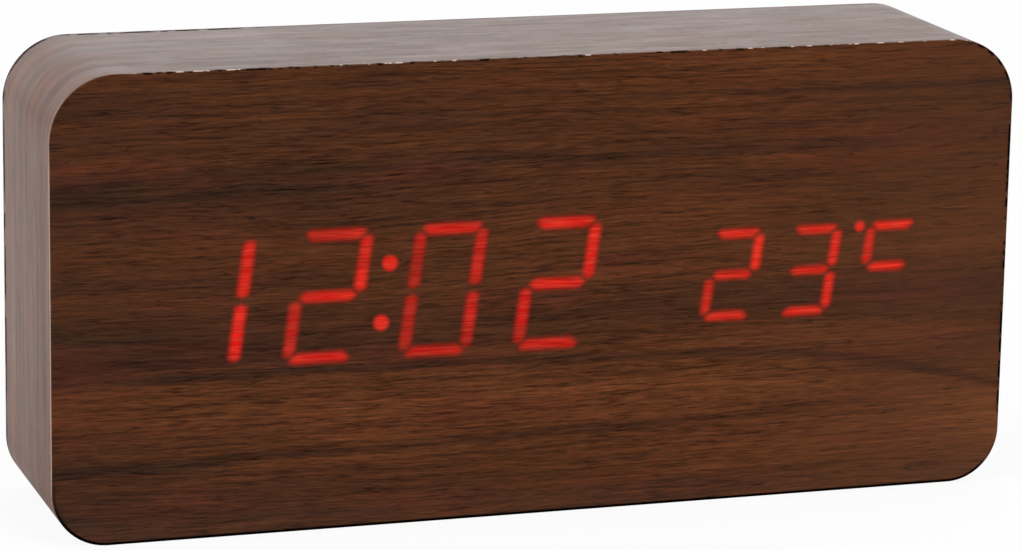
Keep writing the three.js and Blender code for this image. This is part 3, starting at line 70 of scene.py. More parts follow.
bpy.context.scene.camera = camera


# Front sheet: one piece of walnut veneer, sliced to 0.6 mm and glued over the whole face, its grain level.
# It is thin enough for the red digits behind it to shine through the wood, with the grain across them.
class Flow:
    """A value that varies over a surface. Sums written with it become the material's Math nodes."""

    def __init__(self, finish, socket):
        self.finish = finish
        self.socket = socket

    def sum(self, operation, *terms):
        return self.finish.node("ShaderNodeMath", {"operation": operation}, dict(enumerate(terms)))

    def alone(self, operation):
        """A sum that takes this value only, such as its sine or its whole part."""
        return self.sum(operation, self)

    def __add__(self, other):
        return self.sum("ADD", self, other)

    def __radd__(self, other):
        return self.sum("ADD", other, self)

    def __sub__(self, other):
        return self.sum("SUBTRACT", self, other)

    def __rsub__(self, other):
        return self.sum("SUBTRACT", other, self)

    def __mul__(self, other):
        return self.sum("MULTIPLY", self, other)

    def __rmul__(self, other):
        return self.sum("MULTIPLY", other, self)

    def __truediv__(self, other):
        return self.sum("DIVIDE", self, other)

    def __pow__(self, other):
        return self.sum("POWER", self, other)

    def __abs__(self):
        return self.alone("ABSOLUTE")

    def least(self, other):
        return self.sum("MINIMUM", self, other)

    def most(self, other, rounding=0):
        if rounding:
            return self.sum("SMOOTH_MAX", self, other, rounding)
        return self.sum("MAXIMUM", self, other)

    def above(self, other):
        return self.sum("GREATER_THAN", self, other)

    def rise(self, start, end):
        """0 at start, 1 at end, smooth between; start may be the higher."""
        return self.finish.node(
            "ShaderNodeMapRange", {"interpolation_type": "SMOOTHSTEP"}, {0: self, 1: start, 2: end})


class Finish:
    """A material being mixed, or the room's light: its main shader, and the nodes that feed it."""

    def __init__(self, name, shader_values=None, room=None):
        self.material = room or bpy.data.materials.new(name)
        self.material.use_nodes = True
        self.tree = self.material.node_tree
        self.shader = self.tree.nodes["Background" if room else "Principled BSDF"]
        self.set(self.shader, shader_values or {})

    def set(self, node, values):
        """Fills a node's sockets with plain values, or links them to flows."""
        for key, value in values.items():
            socket = node.inputs[key]
            if isinstance(value, Flow):
                self.tree.links.new(value.socket, socket)
            else:
                socket.default_value = value

    def node(self, kind, settings=None, values=None, out=0):
        """A node's output, once its settings and then its sockets are filled."""
        node = self.tree.nodes.new(kind)
        for key, value in (settings or {}).items():
            if key != "stops":
                setattr(node, key, value)
                continue
            ramp = node.color_ramp.elements
            while len(ramp) < len(value):
                ramp.new(1)
            for stop, (place, shade) in zip(ramp, value):
                stop.position = place
                stop.color = shade
        self.set(node, values or {})
        return Flow(self, node.outputs[out])

    def place(self):
        """The surface point's coordinates across, in depth and up, in millimetres."""
        where = self.node("ShaderNodeTexCoord", out="Object")
        scaled = self.scale(where, 1000.0)
        return [self.node("ShaderNodeSeparateXYZ", None, {0: scaled}, out=axis) for axis in range(3)]

    def noise(self, x, y, z, detail=2.0, roughness=0.5):
        """Cloudy noise from 0 to 1 over the three coordinates."""
        vector = self.node("ShaderNodeCombineXYZ", None, {0: x, 1: y, 2: z})
        return self.node("ShaderNodeTexNoise", None, {
            "Vector": vector, "Scale": 1.0, "Detail": detail, "Roughness": roughness})

    def ramp(self, value, stops):
        return self.node("ShaderNodeValToRGB", {"stops": stops}, {0: value})

    def scale(self, colours, factor):
        """A colour or a place, each of its three parts times the factor."""
        return self.node("ShaderNodeVectorMath", {"operation": "SCALE"}, {0: colours, 3: factor})

    def blend(self, share, first, second):
        """Two colours mixed by a share from 0 to 1."""
        return self.node("ShaderNodeMix", {"data_type": "RGBA"}, {0: share, 6: first, 7: second}, out=2)

    def bump(self, height, depth_mm, eased_mm=0):
        """Raises the surface where height is 1, by depth_mm, and lets edges catch light as if eased."""
        relief = {"Distance": depth_mm / 1000, "Height": height}
        if eased_mm:
            relief["Normal"] = self.node("ShaderNodeBevel", {"samples": 6}, {"Radius": eased_mm / 1000})
        self.set(self.shader, {"Normal": self.node("ShaderNodeBump", None, relief)})

    def dull(self, share, shade):
        """Covers the surface with a dull dark layer where share is 1."""
        layer = self.node("ShaderNodeBsdfDiffuse", None, {"Color": shade})
        own = Flow(self, self.shader.outputs[0])
        covered = self.node("ShaderNodeMixShader", None, {0: share, 1: own, 2: layer})
        self.set(self.tree.nodes["Material Output"], {"Surface": covered})


def colour(red, green, blue):
    """A colour as the eye reads it, 0 to 255, turned to the linear light that shaders use."""
    linear = []
    for level in (red / 255, green / 255, blue / 255):
        linear.append(level / 12.92 if level <= 0.04045 else ((level + 0.055) / 1.055) ** 2.4)
    return (*linear, 1.0)


crease_angle = math.radians(35)


def piece_from(name, shape, finish, body="clock"):
    """Turns a finished bmesh into a smooth-shaded piece that keeps its sharp edges, riding on its body."""
    mesh = bpy.data.meshes.new(name)
    shape.to_mesh(mesh)
    shape.free()
    mesh.shade_smooth()
    mesh.set_sharp_from_angle(angle=crease_angle)
    mesh.materials.append(finish.material)
    piece = bpy.data.objects.new(name, mesh)
    bpy.context.scene.collection.objects.link(piece)
    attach(piece, body)
    return piece


front_low, front_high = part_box("front_veneer")
case_width, case_height = front_high.x - front_low.x, front_high.z - front_low.z
front_y, veneer = front_low.y, front_high.y - front_low.y
upper_radius, lower_radius = 0.0098, 0.0083
corner_steps, edge_steps = 28, 3
same_depth, sharp_turn = 1e-6, 1.0


def case_sheet(y):
    """A flat sheet with the outline of the case, standing at depth y."""
    shape = bmesh.new()
    lower = [shape.verts.new((side * case_width / 2, y, 0)) for side in (-1, 1)]
    upper = [shape.verts.new((side * case_width / 2, y, case_height)) for side in (1, -1)]
    shape.faces.new(lower + upper)
    for corners, radius in ((lower, lower_radius), (upper, upper_radius)):
        bmesh.ops.bevel(
            shape, geom=corners, offset=radius, offset_type="OFFSET", affect="VERTICES",
            segments=corner_steps, profile=0.5, material=-1, clamp_overlap=True)
    return shape


def cut_middle(shape, rim):
    """Cuts the middle out of a sheet and leaves a rim of even width."""
    middle = list(shape.faces)
    bmesh.ops.inset_region(shape, faces=middle, thickness=rim, use_even_offset=True, use_boundary=True)
    bmesh.ops.delete(shape, geom=middle, context="FACES")


def thicken(shape, towards):
    """Pulls every face of a flat sheet along the depth, closing the sides behind it."""
    faces = list(shape.faces)
    made = bmesh.ops.extrude_face_region(shape, geom=faces, use_keep_orig=True)["geom"]
    moved = [part for part in made if isinstance(part, bmesh.types.BMVert)]
    bmesh.ops.translate(shape, verts=moved, vec=(0, towards, 0))
    bmesh.ops.recalc_face_normals(shape, faces=list(shape.faces))


def ease_edges(shape, radius, at_y):
    """Rounds every sharp edge that lies at depth at_y, as a pass of fine paper does."""
    edges = [
        edge for edge in shape.edges
        if all(abs(vert.co.y - at_y) < same_depth for vert in edge.verts)
        and edge.calc_face_angle(0) > sharp_turn
    ]
    bmesh.ops.bevel(
        shape, geom=edges, offset=radius, offset_type="OFFSET", affect="EDGES", segments=edge_steps,
        profile=0.5, material=-1, clamp_overlap=True)


def walnut(finish, along, across, figure=0.0, streaky=0.34, crisp=1.0):
    """Walnut over two coordinates in millimetres, along the grain and across it.

    Returns its colour, its fine dark lines and its pores; figure adds tone of its own, streaky is how strong
    its streaks are and crisp how strong its fine lines are."""
    sway = finish.noise(along * 0.011, across * 0.025, 3.7, detail=1) * 5
    waver = finish.noise(along * 0.07, across * 0.12, 5.9, detail=1) * 0.9
    line = across + sway + waver
    bands = finish.noise(along * 0.008, line * 0.10, 1.3, detail=2)
    streaks = finish.noise(along * 0.026, line * 0.75, 8.1, detail=3, roughness=0.6)
    threads = finish.noise(along * 0.09, line * 1.9, 5.2, detail=2, roughness=0.6)
    fibres = finish.noise(along * 0.34, line * 4.6, 9.4, detail=3, roughness=0.7)
    rays = finish.noise(along * 0.045, line * 2.9, 3.3, detail=3, roughness=0.65)
    pores = finish.noise(along * 0.30, line * 3.4, 2.6, detail=1).rise(0.60, 0.78)
    hairs = abs(finish.noise(along * 0.075, line * 1.15, 7.3, detail=1) - 0.5).rise(0.030, 0.004)
    hairs = hairs * finish.noise(along * 0.12, line * 0.5, 0.9, detail=1).rise(0.42, 0.62)
    tone = 0.5 + 0.65 * (bands - 0.5) + streaky * (streaks - 0.5) + figure
    wood = finish.ramp(tone, [
        (0.00, colour(38, 22, 15)),
        (0.28, colour(57, 32, 17)),
        (0.50, colour(75, 39, 15)),
        (0.72, colour(91, 48, 18)),
        (1.00, colour(116, 65, 26)),
    ])
    red = finish.noise(along * 0.035, line * 0.22, 4.4, detail=2).rise(0.50, 0.72)
    wood = finish.blend(red * 0.3, wood, colour(90, 37, 20))
    shade = 1.01 + crisp * (0.5 * (threads - 0.5) + 2.6 * (fibres - 0.5) + 1.6 * (rays - 0.5))
    shade = (shade * (1 - 0.45 * pores) * (1 - 0.45 * hairs)).most(0.0)
    return finish.scale(wood, shade), fibres, pores.most(hairs)


def seven_segments(x, z, centre, pitch, reading, half_width, half_height, half_stroke, slant):
    """How brightly a row of seven-segment digits shines at a point, 0 to 1.

    The sizes are in millimetres; slant is how far a digit leans over for each millimetre up. Each bar is a
    strip with mitred ends, worked out as the greatest of its distances past its edges, below 0 inside it."""
    flat_gap, tall_gap, waist_gap, rounding = 0.1, -0.35, 0.30, 0.6
    end_trim, waist_trim, corner_share, point_slope, point_scale = 0.1, 0.15, 0.45, 0.45, 0.91
    dark_from, full_from = 0.55, -0.84
    lit = {"0": "abcdef", "1": "bc", "2": "abged", "3": "abgcd", "C": "afg"}
    up = z - centre[1]
    run = x - centre[0] - up * slant
    cell = (run / pitch + len(reading) / 2).alone("FLOOR")
    side = run - (cell - (len(reading) - 1) / 2) * pitch
    here = [cell.sum("COMPARE", cell, float(i), 0.4) for i in range(len(reading))]

    def on(letter):
        cells = [here[i] for i, digit in enumerate(reading) if letter in lit[digit]]
        return sum(cells[1:], cells[0]) if cells else 0

    upper, right = up.above(0.0), side.above(0.0)
    far, high = abs(side), abs(up)
    from_flat, from_tall = high - half_height, far - half_width
    root = math.sqrt(0.5)
    flat = (abs(from_flat) - half_stroke).most((far - from_flat - (half_width - flat_gap)) * root, rounding)
    corner = (far + high - (half_width + half_height + corner_share * half_stroke)) * root
    flat = flat.most(far - half_width - end_trim, rounding).most(corner, rounding)
    tall_end = (high - from_tall - (half_height - tall_gap)) * root
    tall = (abs(from_tall) - half_stroke - end_trim).most(tall_end, rounding)
    tall = tall.most(high - half_height + end_trim, rounding).most(corner, rounding)
    tall = tall.most((abs(from_tall) * point_slope - high + waist_gap) * point_scale, rounding)
    waist_bar = (high - half_stroke).most((far + high - (half_width - end_trim)) * root, rounding)
    waist_bar = waist_bar.most(far - half_width + waist_trim, rounding)
    shine = [bar.rise(dark_from, full_from) for bar in (flat, tall, waist_bar)]
    tilt = 0.86 + 0.14 * side.rise(-half_width, half_width)
    flat_on = upper * on("a") + (1 - upper) * on("d")
    tall_on = (upper * (right * on("b") + (1 - right) * on("f"))
               + (1 - upper) * (right * on("c") + (1 - right) * on("e")))
    return (shine[0] * flat_on).most(shine[1] * tall_on * tilt).most(shine[2] * on("g"))


def lamp_dot(x, z, at, radius):
    """A round lit dot, 1 in its middle and 0 outside."""
    distance = ((x - at[0]) ** 2 + (z - at[1]) ** 2) ** 0.5
    return (distance - radius).rise(0.34, -0.56)


front_finish = Finish("walnut_front", {"Specular IOR Level": 0.28})
x, y, z = front_finish.place()
half_wide, half_tall, face_y = case_width * 500, case_height * 500, front_y * 1000

# Broad streaks: height at the middle, slope, droop to the right, half thickness, depth, and where each
# begins and ends to fade in along the sheet, or two zeros
streak_table = (
    (54.6, 0.010, 0.0, 1.4, 0.14, 0, 0),
    (52.4, 0.016, 0.0, 1.5, 0.13, -15, -50),
    (63.4, -0.004, 0.0, 0.9, 0.15, -5, 30),
    (62.5, 0.0, 0.0, 5.0, 0.10, 0, 0),
    (59.0, 0.0, 0.0, 3.0, 0.05, 0, 0),
    (60.0, 0.0, 0.0, 9.0, 0.08, 25, 75),
    (23.5, 0.0, 0.0, 4.0, 0.13, 50, 75),
    (22.0, 0.0, 0.0, 3.5, -0.06, 20, -30),
    (54.0, 0.0, 0.0, 4.5, 0.08, 10, -40),
    (55.0, 0.0, 0.0, 4.5, 0.10, 45, 75),
    (47.0, 0.0, 0.0, 4.0, 0.06, -40, -70),
    (39.0, 0.0, 0.0, 3.5, 0.06, 0, 0),
    (33.2, 0.010, 0.0, 3.6, 0.16, 0, 0),
    (28.4, 0.010, 0.0, 3.6, 0.17, 0, 0),
    (31.0, 0.012, 0.0, 5.2, 0.09, -35, -5),
    (26.4, -0.010, 0.0, 1.8, 0.14, -10, -40),
    (24.0, -0.008, 0.0022, 0.9, 0.25, 0, 0),
    (20.5, -0.030, 0.0, 3.2, 0.13, 35, 62),
    (18.6, -0.010, 0.0016, 4.5, -0.11, 0, 0),
    (15.0, 0.0, 0.0, 3.5, 0.11, -20, -70),
    (12.6, 0.016, -0.0012, 1.1, 0.22, 54, 40),
    (9.5, 0.02, 0.0, 8.0, 0.07, -20, -65),
    (7.0, 0.0, 0.0, 5.0, -0.05, -20, 15),
)
# Painted light: the face's colour is made lighter towards the right and towards its lower right corner,
# where the light falls more strongly
droop_from = 15.0
figure = x * 0.0013 + (half_tall - z) * (x + 40.0) * 0.000016 + 0.045
for height, slope, droop, half, depth, fade_from, fade_to in streak_table:
    wave = front_finish.noise(x * 0.025, height, 9.3, detail=2) * 2 - 1
    fall = x.most(droop_from) - droop_from
    off = abs(z - height - x * slope + fall * fall * droop + wave) / half
    streak = off.rise(1.3, 0.0) * depth
    if fade_from != fade_to:
        streak = streak * x.rise(fade_from, fade_to)
    figure = figure - streak

# The streaks are stronger above and below the digits, and the fine lines are softer at both sides
streaky = 0.22 + 0.22 * abs(z - 39.0).rise(9.0, 17.0)
crisp = (1 - 0.2 * x.rise(-50.0, -68.0)) * (1 - 0.4 * x.rise(20.0, 66.0))
crisp = crisp * (1 + 0.2 * abs(z - 17.0).rise(14.0, 4.0))
wood, fibres, pores = walnut(front_finish, x, z, figure, streaky, crisp)
wood = front_finish.blend(x.rise(25.0, 72.0) * 0.12, wood, colour(92, 60, 44))

# The light of the digits: stronger where the wood is thin, with its threads and fine lines across it
digit_slant, degree_dot, colon_dots = 0.14, (50.4, 41.7), ((-24.2, 40.1), (-25.46, 31.13))
digits = seven_segments(
    x, z, centre=(-24.79, 35.6), pitch=17.75, reading="1202", half_width=4.75, half_height=9.2,
    half_stroke=1.0, slant=digit_slant)
small_digits = seven_segments(
    x, z, centre=(42.39, 35.3), pitch=12.6, reading="23C", half_width=3.5, half_height=6.32,
    half_stroke=0.85, slant=digit_slant)
digits = digits.most(small_digits)
dots = lamp_dot(x, z, degree_dot, radius=0.86)
for at in colon_dots:
    dots = dots.most(lamp_dot(x, z, at, radius=1.24))
clouds = front_finish.noise(x * 0.09, z * 0.16, 7.7, detail=1)
threads = front_finish.noise(x * 0.16, z * 1.7, 6.1, detail=3, roughness=0.6)
fine = front_finish.noise(x * 0.22, z * 3.6, 8.8, detail=2)
on_face = y.rise(face_y + 0.1, face_y + 0.01)
first_digit, last_digit = x.rise(-41.0, -44.0), x.rise(-5.0, -2.0)
third_digit = x.rise(-26.0, -21.0) * x.rise(-5.0, -9.0)
small_display = x.rise(10.0, 20.0)
strength = 0.34 + 0.52 * clouds + 0.14 * first_digit - 0.09 * third_digit
strength = strength + 0.06 * last_digit + 0.08 * small_display
strength = strength * (0.66 + 0.34 * threads.rise(0.28, 0.60)) * (0.86 + 0.28 * fine)
glow = digits.most(dots) ** 0.7 * on_face
through = on_face * (digits ** 1.5 * strength).most(dots * (0.61 + 0.14 * threads))
lines = fine.rise(0.34, 0.66)
lamp_red = front_finish.blend(small_display, colour(246, 8, 4), colour(240, 30, 12))
lamp_red = front_finish.blend(lines, lamp_red, colour(246, 52, 36))

# The edge: the sheet's pale cut side, with a painted highlight on the left; a black line of painted shade
# along the edges away from the light; dark specks; and white glints, painted highlights along the top
sheet_radius = lower_radius * 1000 + z.above(half_tall) * (upper_radius - lower_radius) * 1000
past_x = abs(x) - half_wide + sheet_radius
past_z = abs(z - half_tall) - half_tall + sheet_radius
round_the_corner = (past_x.most(0.0) ** 2 + past_z.most(0.0) ** 2) ** 0.5
from_edge = round_the_corner + past_x.most(past_z).least(0.0) - sheet_radius
edge = y.rise(face_y + 0.015, face_y + 0.09) * y.rise(face_y + 0.34, face_y + 0.24)
cut_side = y.rise(face_y + 0.15, face_y + 0.25)
edge_dash_noise = front_finish.noise(x * 0.7, y * 0.5, z * 0.7, detail=2)
# Painted shade: a black line along the bottom and right edges, away from the light, solid below and broken
# into dashes up the right
in_shade = (x * 0.35 + half_tall - z).rise(-4.0, 10.0).most(x.rise(66.0, 70.0) * 0.8)
in_shade = in_shade * (1 - 0.8 * x.rise(71.5, 73.5) * z.rise(14.0, 9.0))
unbroken = x.rise(74.0, 72.0) * z.rise(52.0, 44.0)
edge_shade_and_specks = in_shade * from_edge.rise(-0.58, -0.36) * (unbroken + 0.95 * edge_dash_noise.rise(0.47, 0.53)).least(1.0)
on_top = z.rise(half_tall * 2 - 1.0, half_tall * 2 - 0.4)
# The cut side is paler wood, and is painted lighter still along the left edge as a painted highlight, less
# so at the upper left corner
upper_left = x.rise(-64.0, -70.0) * z.rise(54.0, 61.0)
pale_side_and_highlight = (0.30 + 0.45 * x.rise(-70.0, -74.0)) * (1 - 0.5 * upper_left)
wood = front_finish.blend(cut_side * pale_side_and_highlight, wood, colour(186, 162, 148))
# Dark specks along the top edge, added to the black edge line
dark_specks = on_top * from_edge.rise(-0.34, -0.16) * edge_dash_noise.rise(0.44, 0.38) * x.rise(60.0, 20.0) * 0.8
edge_shade_and_specks = edge_shade_and_specks.most(dark_specks)
wood = front_finish.blend(edge_shade_and_specks * 0.96, wood, colour(10, 6, 5))
# Painted highlight: short white glints along the top edge
painted_glints = on_top * edge * (edge_dash_noise + x * -0.0006).rise(0.57, 0.63) * x.rise(-64.0, -60.0)
wood = front_finish.blend(painted_glints * 0.7, wood, colour(236, 214, 204))
# The digits' red glow is also painted into the wood's own colour over them
painted_digit_glow = front_finish.blend(lines, colour(50, 4, 2), colour(74, 20, 12))
wood = front_finish.blend(glow * 0.8, wood, painted_digit_glow)
# The painted edge shade also takes the gloss away, through Metallic and Roughness
front_finish.set(front_finish.shader, {
    "Base Color": wood, "Metallic": edge_shade_and_specks,
    "Roughness": 0.38 + 0.12 * fibres + 0.16 * pores + 0.3 * edge_shade_and_specks,
    "Emission Color": front_finish.blend(through, (0, 0, 0, 1), lamp_red), "Emission Strength": 1.0})
front_finish.bump(fibres * 0.5 - pores, 0.04)

sheet_ease = 0.00022
front_sheet = case_sheet(front_y)
thicken(front_sheet, veneer)
ease_edges(front_sheet, sheet_ease, front_y)
front = piece_from("walnut_front_sheet", front_sheet, front_finish)
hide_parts("front_veneer")


# Side band: a strip of the same veneer wrapped once round the top, ends and bottom, its grain following it.
# It is glued before the face goes on, and its two ends meet in a butt seam underneath.
seam_x, seam_gap = -0.030, 0.0002
band_low, band_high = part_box("side_veneer")

band_finish = Finish("walnut_band", {"Specular IOR Level": 0.5, "Coat Roughness": 0.36})
wrap = band_finish.node("ShaderNodeUVMap", {"uv_map": "wrap"})
wrap_mm = band_finish.scale(wrap, 1000.0)
along = band_finish.node("ShaderNodeSeparateXYZ", None, {0: wrap_mm}, out=0)
across = band_finish.node("ShaderNodeSeparateXYZ", None, {0: wrap_mm}, out=1)
next_leaf = 140
wood, fibres, pores = walnut(band_finish, along, across + next_leaf, figure=0.10, streaky=0.40)
rubbed = band_finish.noise(along * 0.03, across * 0.45, 2.2, detail=3, roughness=0.6)
stripes = band_finish.noise(along * 0.012, across * 0.6, 6.6, detail=2)
wood = band_finish.scale(wood, 0.62 + 0.7 * stripes)
on_left = along.rise(-76.0, -84.0) * along.rise(-150.0, -136.0)
band_finish.set(band_finish.shader, {
    "Base Color": wood, "Roughness": 0.12 + 0.42 * rubbed + 0.16 * fibres + 0.10 * pores,
    "Coat Weight": 0.26 + (0.10 + 0.14 * on_left) * across.rise(-17.0, 17.0)})
# A dull dark line in broken dashes along the band's back edge, on the upper left end, round the upper left
# corner and a little way along the top
dark_back_edge = across.rise(15.2, 15.8) * along.rise(-200.0, -165.0) * along.rise(-70.0, -95.0)
dark_back_edge = dark_back_edge * band_finish.noise(along * 0.35, across * 0.6, 4.1, detail=3).rise(0.42, 0.50)
band_finish.dull(dark_back_edge * 0.9, colour(36, 32, 31))
band_finish.bump(fibres * 0.5 - pores, 0.02)

band = case_sheet(band_low.y)
cut_middle(band, veneer)
for side in (-1, 1):
    below = [face for face in band.faces if face.calc_center_median().z < 2 * veneer]
    seam_parts = set(below)
    for face in below:
        seam_parts.update(face.edges)
        seam_parts.update(face.verts)
    bmesh.ops.bisect_plane(
        band, geom=list(seam_parts), plane_co=(seam_x + side * seam_gap / 2, 0, 0),
        plane_no=(1, 0, 0))
seam = [
    face for face in band.faces
    if face.calc_center_median().z < 2 * veneer and abs(face.calc_center_median().x - seam_x) < seam_gap]
bmesh.ops.delete(band, geom=seam, context="FACES")
thicken(band, band_high.y - band_low.y)

level_length, upright_length = case_width - 2 * lower_radius, case_height - lower_radius - upper_radius
lower_turn, upper_turn = lower_radius * math.pi / 2, upper_radius * math.pi / 2
top_length = case_width - 2 * upper_radius


def round_the_case(point):
    """How far along the strip a point lies: 0 under the middle, growing to the right and up to the top."""
    side = 1 if point.x >= 0 else -1
    px, pz = abs(point.x), point.z
    if pz <= lower_radius and px > level_length / 2:
        turn = math.atan2(px - level_length / 2, lower_radius - pz)
        length = level_length / 2 + turn * lower_radius
    elif pz >= case_height - upper_radius and px > top_length / 2:
        turn = math.atan2(pz - case_height + upper_radius, px - top_length / 2)
        length = level_length / 2 + lower_turn + upright_length + turn * upper_radius
    elif pz > case_height / 2 and px <= top_length / 2:
        length = level_length / 2 + lower_turn + upright_length + upper_turn + top_length / 2 - px
    elif pz <= lower_radius:
        length = px
    else:
        length = level_length / 2 + lower_turn + pz - lower_radius
    return side * length


wrap_layer = band.loops.layers.uv.new("wrap")
for face in band.faces:
    for loop in face.loops:
        loop[wrap_layer].uv = (round_the_case(loop.vert.co), loop.vert.co.y)
side_band = piece_from("walnut_side_band", band, band_finish)
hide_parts("side_veneer")


# Back rim: the same veneer again, a sheet with its middle cut out, glued to the rear edge of the block.
# The black cover sits inside it, a millimetre deep.
rim_inset, rim_ease = 0.0053, 0.0002
back_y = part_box("back_veneer")[1].y

back_finish = Finish("walnut_back", {"Specular IOR Level": 0.4})
x, y, z = back_finish.place()
leaf_along, leaf_across = 300, 200
wood, fibres, pores = walnut(back_finish, x + leaf_along, z + leaf_across, streaky=0.40)
# The rim's cut edge is dull and dark in broken dashes, more so towards the left
cut_edge = y.rise(back_y * 1000 - 0.01, back_y * 1000 - 0.1)
dark_dashes = back_finish.noise(x * 0.35, y * 0.5, z * 0.35, detail=2).rise(0.36, 0.50)
back_finish.set(back_finish.shader, {
    "Base Color": wood, "Roughness": 0.36 + 0.14 * fibres + 0.16 * pores})
back_finish.dull(dark_dashes * cut_edge * (0.25 + 0.70 * x.rise(-15.0, -45.0)), colour(36, 32, 31))
back_finish.bump(fibres * 0.5 - pores, 0.05)

rim = case_sheet(back_y)
cut_middle(rim, rim_inset)
thicken(rim, -veneer)
ease_edges(rim, rim_ease, back_y)
back_rim = piece_from("walnut_back_rim", rim, back_finish)
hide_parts("back_veneer")


# Block: medium-density fibreboard, routed from behind, with windows for the two display modules.
# Only the inner edge of its recess shows, brown and woolly where the cutter went.
def dress(finish, *nodes):
    """Gives CAD nodes, whose shapes stay as they are, a finish."""
    for name in nodes:
        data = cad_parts[name].data
        data.materials.clear()
        data.materials.append(finish.material)


board_finish = Finish("fibreboard")
x, y, z = board_finish.place()
wool = board_finish.noise(x * 2.2, y * 2.2, z * 2.2, detail=4, roughness=0.7)
flecks = board_finish.noise(x * 0.7, y * 3.5, z * 0.7, detail=2)
board_finish.set(board_finish.shader, {
    "Base Color": board_finish.ramp(wool * 0.6 + flecks * 0.4, [
        (0.3, colour(104, 80, 56)), (0.55, colour(141, 113, 82)), (0.75, colour(170, 142, 108))]),
    "Roughness": 0.75 + 0.2 * wool})
board_finish.bump(wool, 0.08)
dress(board_finish, "case_body")


# Display modules: reflector housings with a slot for each segment, cast full of red resin.
# They stand in the block's windows, tight behind the veneer, and are never seen themselves.
def moulded(name, shade, gloss, grain=0.02, grain_mm=0.25, shader_values=None):
    """Moulded plastic: one shade with a faint mottle, and the fine sparked texture of its mould."""
    finish = Finish(name, shader_values)
    x, y, z = finish.place()
    mottle = finish.noise(x * 0.15, y * 0.15, z * 0.15, detail=2)
    texture = finish.noise(x / grain_mm, y / grain_mm, z / grain_mm, detail=2)
    dark = tuple(level * 0.88 for level in shade[:3]) + (1.0,)
    light = tuple(level * 1.12 for level in shade[:3]) + (1.0,)
    finish.set(finish.shader, {
        "Base Color": finish.blend(mottle * 0.6 + texture * 0.4, dark, light),
        "Roughness": gloss - 0.12 + 0.12 * texture + 0.14 * mottle})
    finish.bump(texture, grain, eased_mm=0.3)
    return finish


housing_finish = moulded("reflector_housing", colour(44, 44, 46), 0.55)
dress(housing_finish, "time_display_housing", "temperature_display_housing")
resin_finish = moulded("lit_resin", colour(200, 38, 28), 0.3, shader_values={
    "Emission Color": colour(230, 30, 20), "Emission Strength": 0.6})
dress(resin_finish, "time_display_segments", "temperature_display_segments")


# Circuit boards: glass cloth under green solder resist, with faint copper tracks below it.
# The wide one holds both display modules, the small one the clock's own works.
resist_finish = Finish("green_circuit_board")
x, y, z = resist_finish.place()
lane = x * 0.55 + 0.4 * (z * 0.3).alone("SINE")
from_lane = abs(lane.alone("FRACT") - 0.5)
tracked = resist_finish.noise(x * 0.08, y, z * 0.08, detail=0).rise(0.45, 0.55)
tracks = from_lane.rise(0.30, 0.36) * tracked
weave = resist_finish.noise(x * 3, y * 3, z * 3, detail=1)
resist_finish.set(resist_finish.shader, {
    "Base Color": resist_finish.blend(tracks * 0.55 + weave * 0.15, colour(18, 70, 40), colour(52, 118, 66)),
    "Roughness": 0.28 + 0.15 * weave})
resist_finish.bump(tracks, 0.03)
dress(resist_finish, "display_board", "control_board")


# Chips, switches, buzzer and holder: black moulded cases, the chips with tinned leads along two sides.
# All are soldered to the two boards.
part_finish = moulded("black_component", colour(34, 34, 37), 0.5)
dress(
    part_finish, "buzzer", "coin_cell_holder", "set_switch", "up_switch", "down_switch",
    "temperature_sensor", "set_plunger", "up_plunger", "down_plunger")
chip_half_width = 3.8
for name in ("driver_chip", "clock_chip"):
    low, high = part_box(name)
    middle_z = (low.z + high.z) * 500
    chip_finish = Finish("chip_" + name)
    x, y, z = chip_finish.place()
    leads = (abs(z - middle_z) - chip_half_width).above(0.0)
    grit = chip_finish.noise(x * 6, y * 6, z * 6, detail=1)
    resin = chip_finish.blend(grit, colour(26, 26, 28), colour(44, 44, 47))
    chip_finish.set(chip_finish.shader, {
        "Base Color": chip_finish.blend(leads, resin, colour(205, 205, 200)),
        "Roughness": 0.55 - 0.25 * leads + 0.1 * grit, "Metallic": leads})
    chip_finish.bump(grit, 0.01)
    dress(chip_finish, name)


def metal(name, shade, gloss):
    """Bare metal: a faint clouding, and fine scratches that change its gloss."""
    finish = Finish(name, {"Metallic": 1.0})
    x, y, z = finish.place()
    cloud = finish.noise(x * 0.8, y * 0.8, z * 0.8, detail=2)
    scratch = finish.noise(x * 9, y * 2, z * 9, detail=2)
    dark = tuple(level * 0.82 for level in shade[:3]) + (1.0,)
    finish.set(finish.shader, {
        "Base Color": finish.blend(cloud, dark, shade), "Roughness": gloss - 0.05 + 0.1 * scratch})
    finish.bump(scratch, 0.004, eased_mm=0.12)
    return finish


can_finish = metal("drawn_can", colour(196, 198, 200), 0.3)
dress(can_finish, "crystal", "microphone", "coin_cell")
zinc_finish = metal("zinc_screw", colour(188, 192, 198), 0.32)
for kind, count in (("cover", 4), ("display_board", 4), ("control_board", 2)):
    dress(zinc_finish, *(f"{kind}_screw_{number}" for number in range(1, count + 1)))
nickel_finish = metal("nickel_plate", colour(206, 202, 192), 0.26)
dress(
    nickel_finish, "battery_contact_positive", "battery_contact_negative", "battery_bridge_1",
    "battery_bridge_2", "dc_jack_pin", "dc_jack_nut")


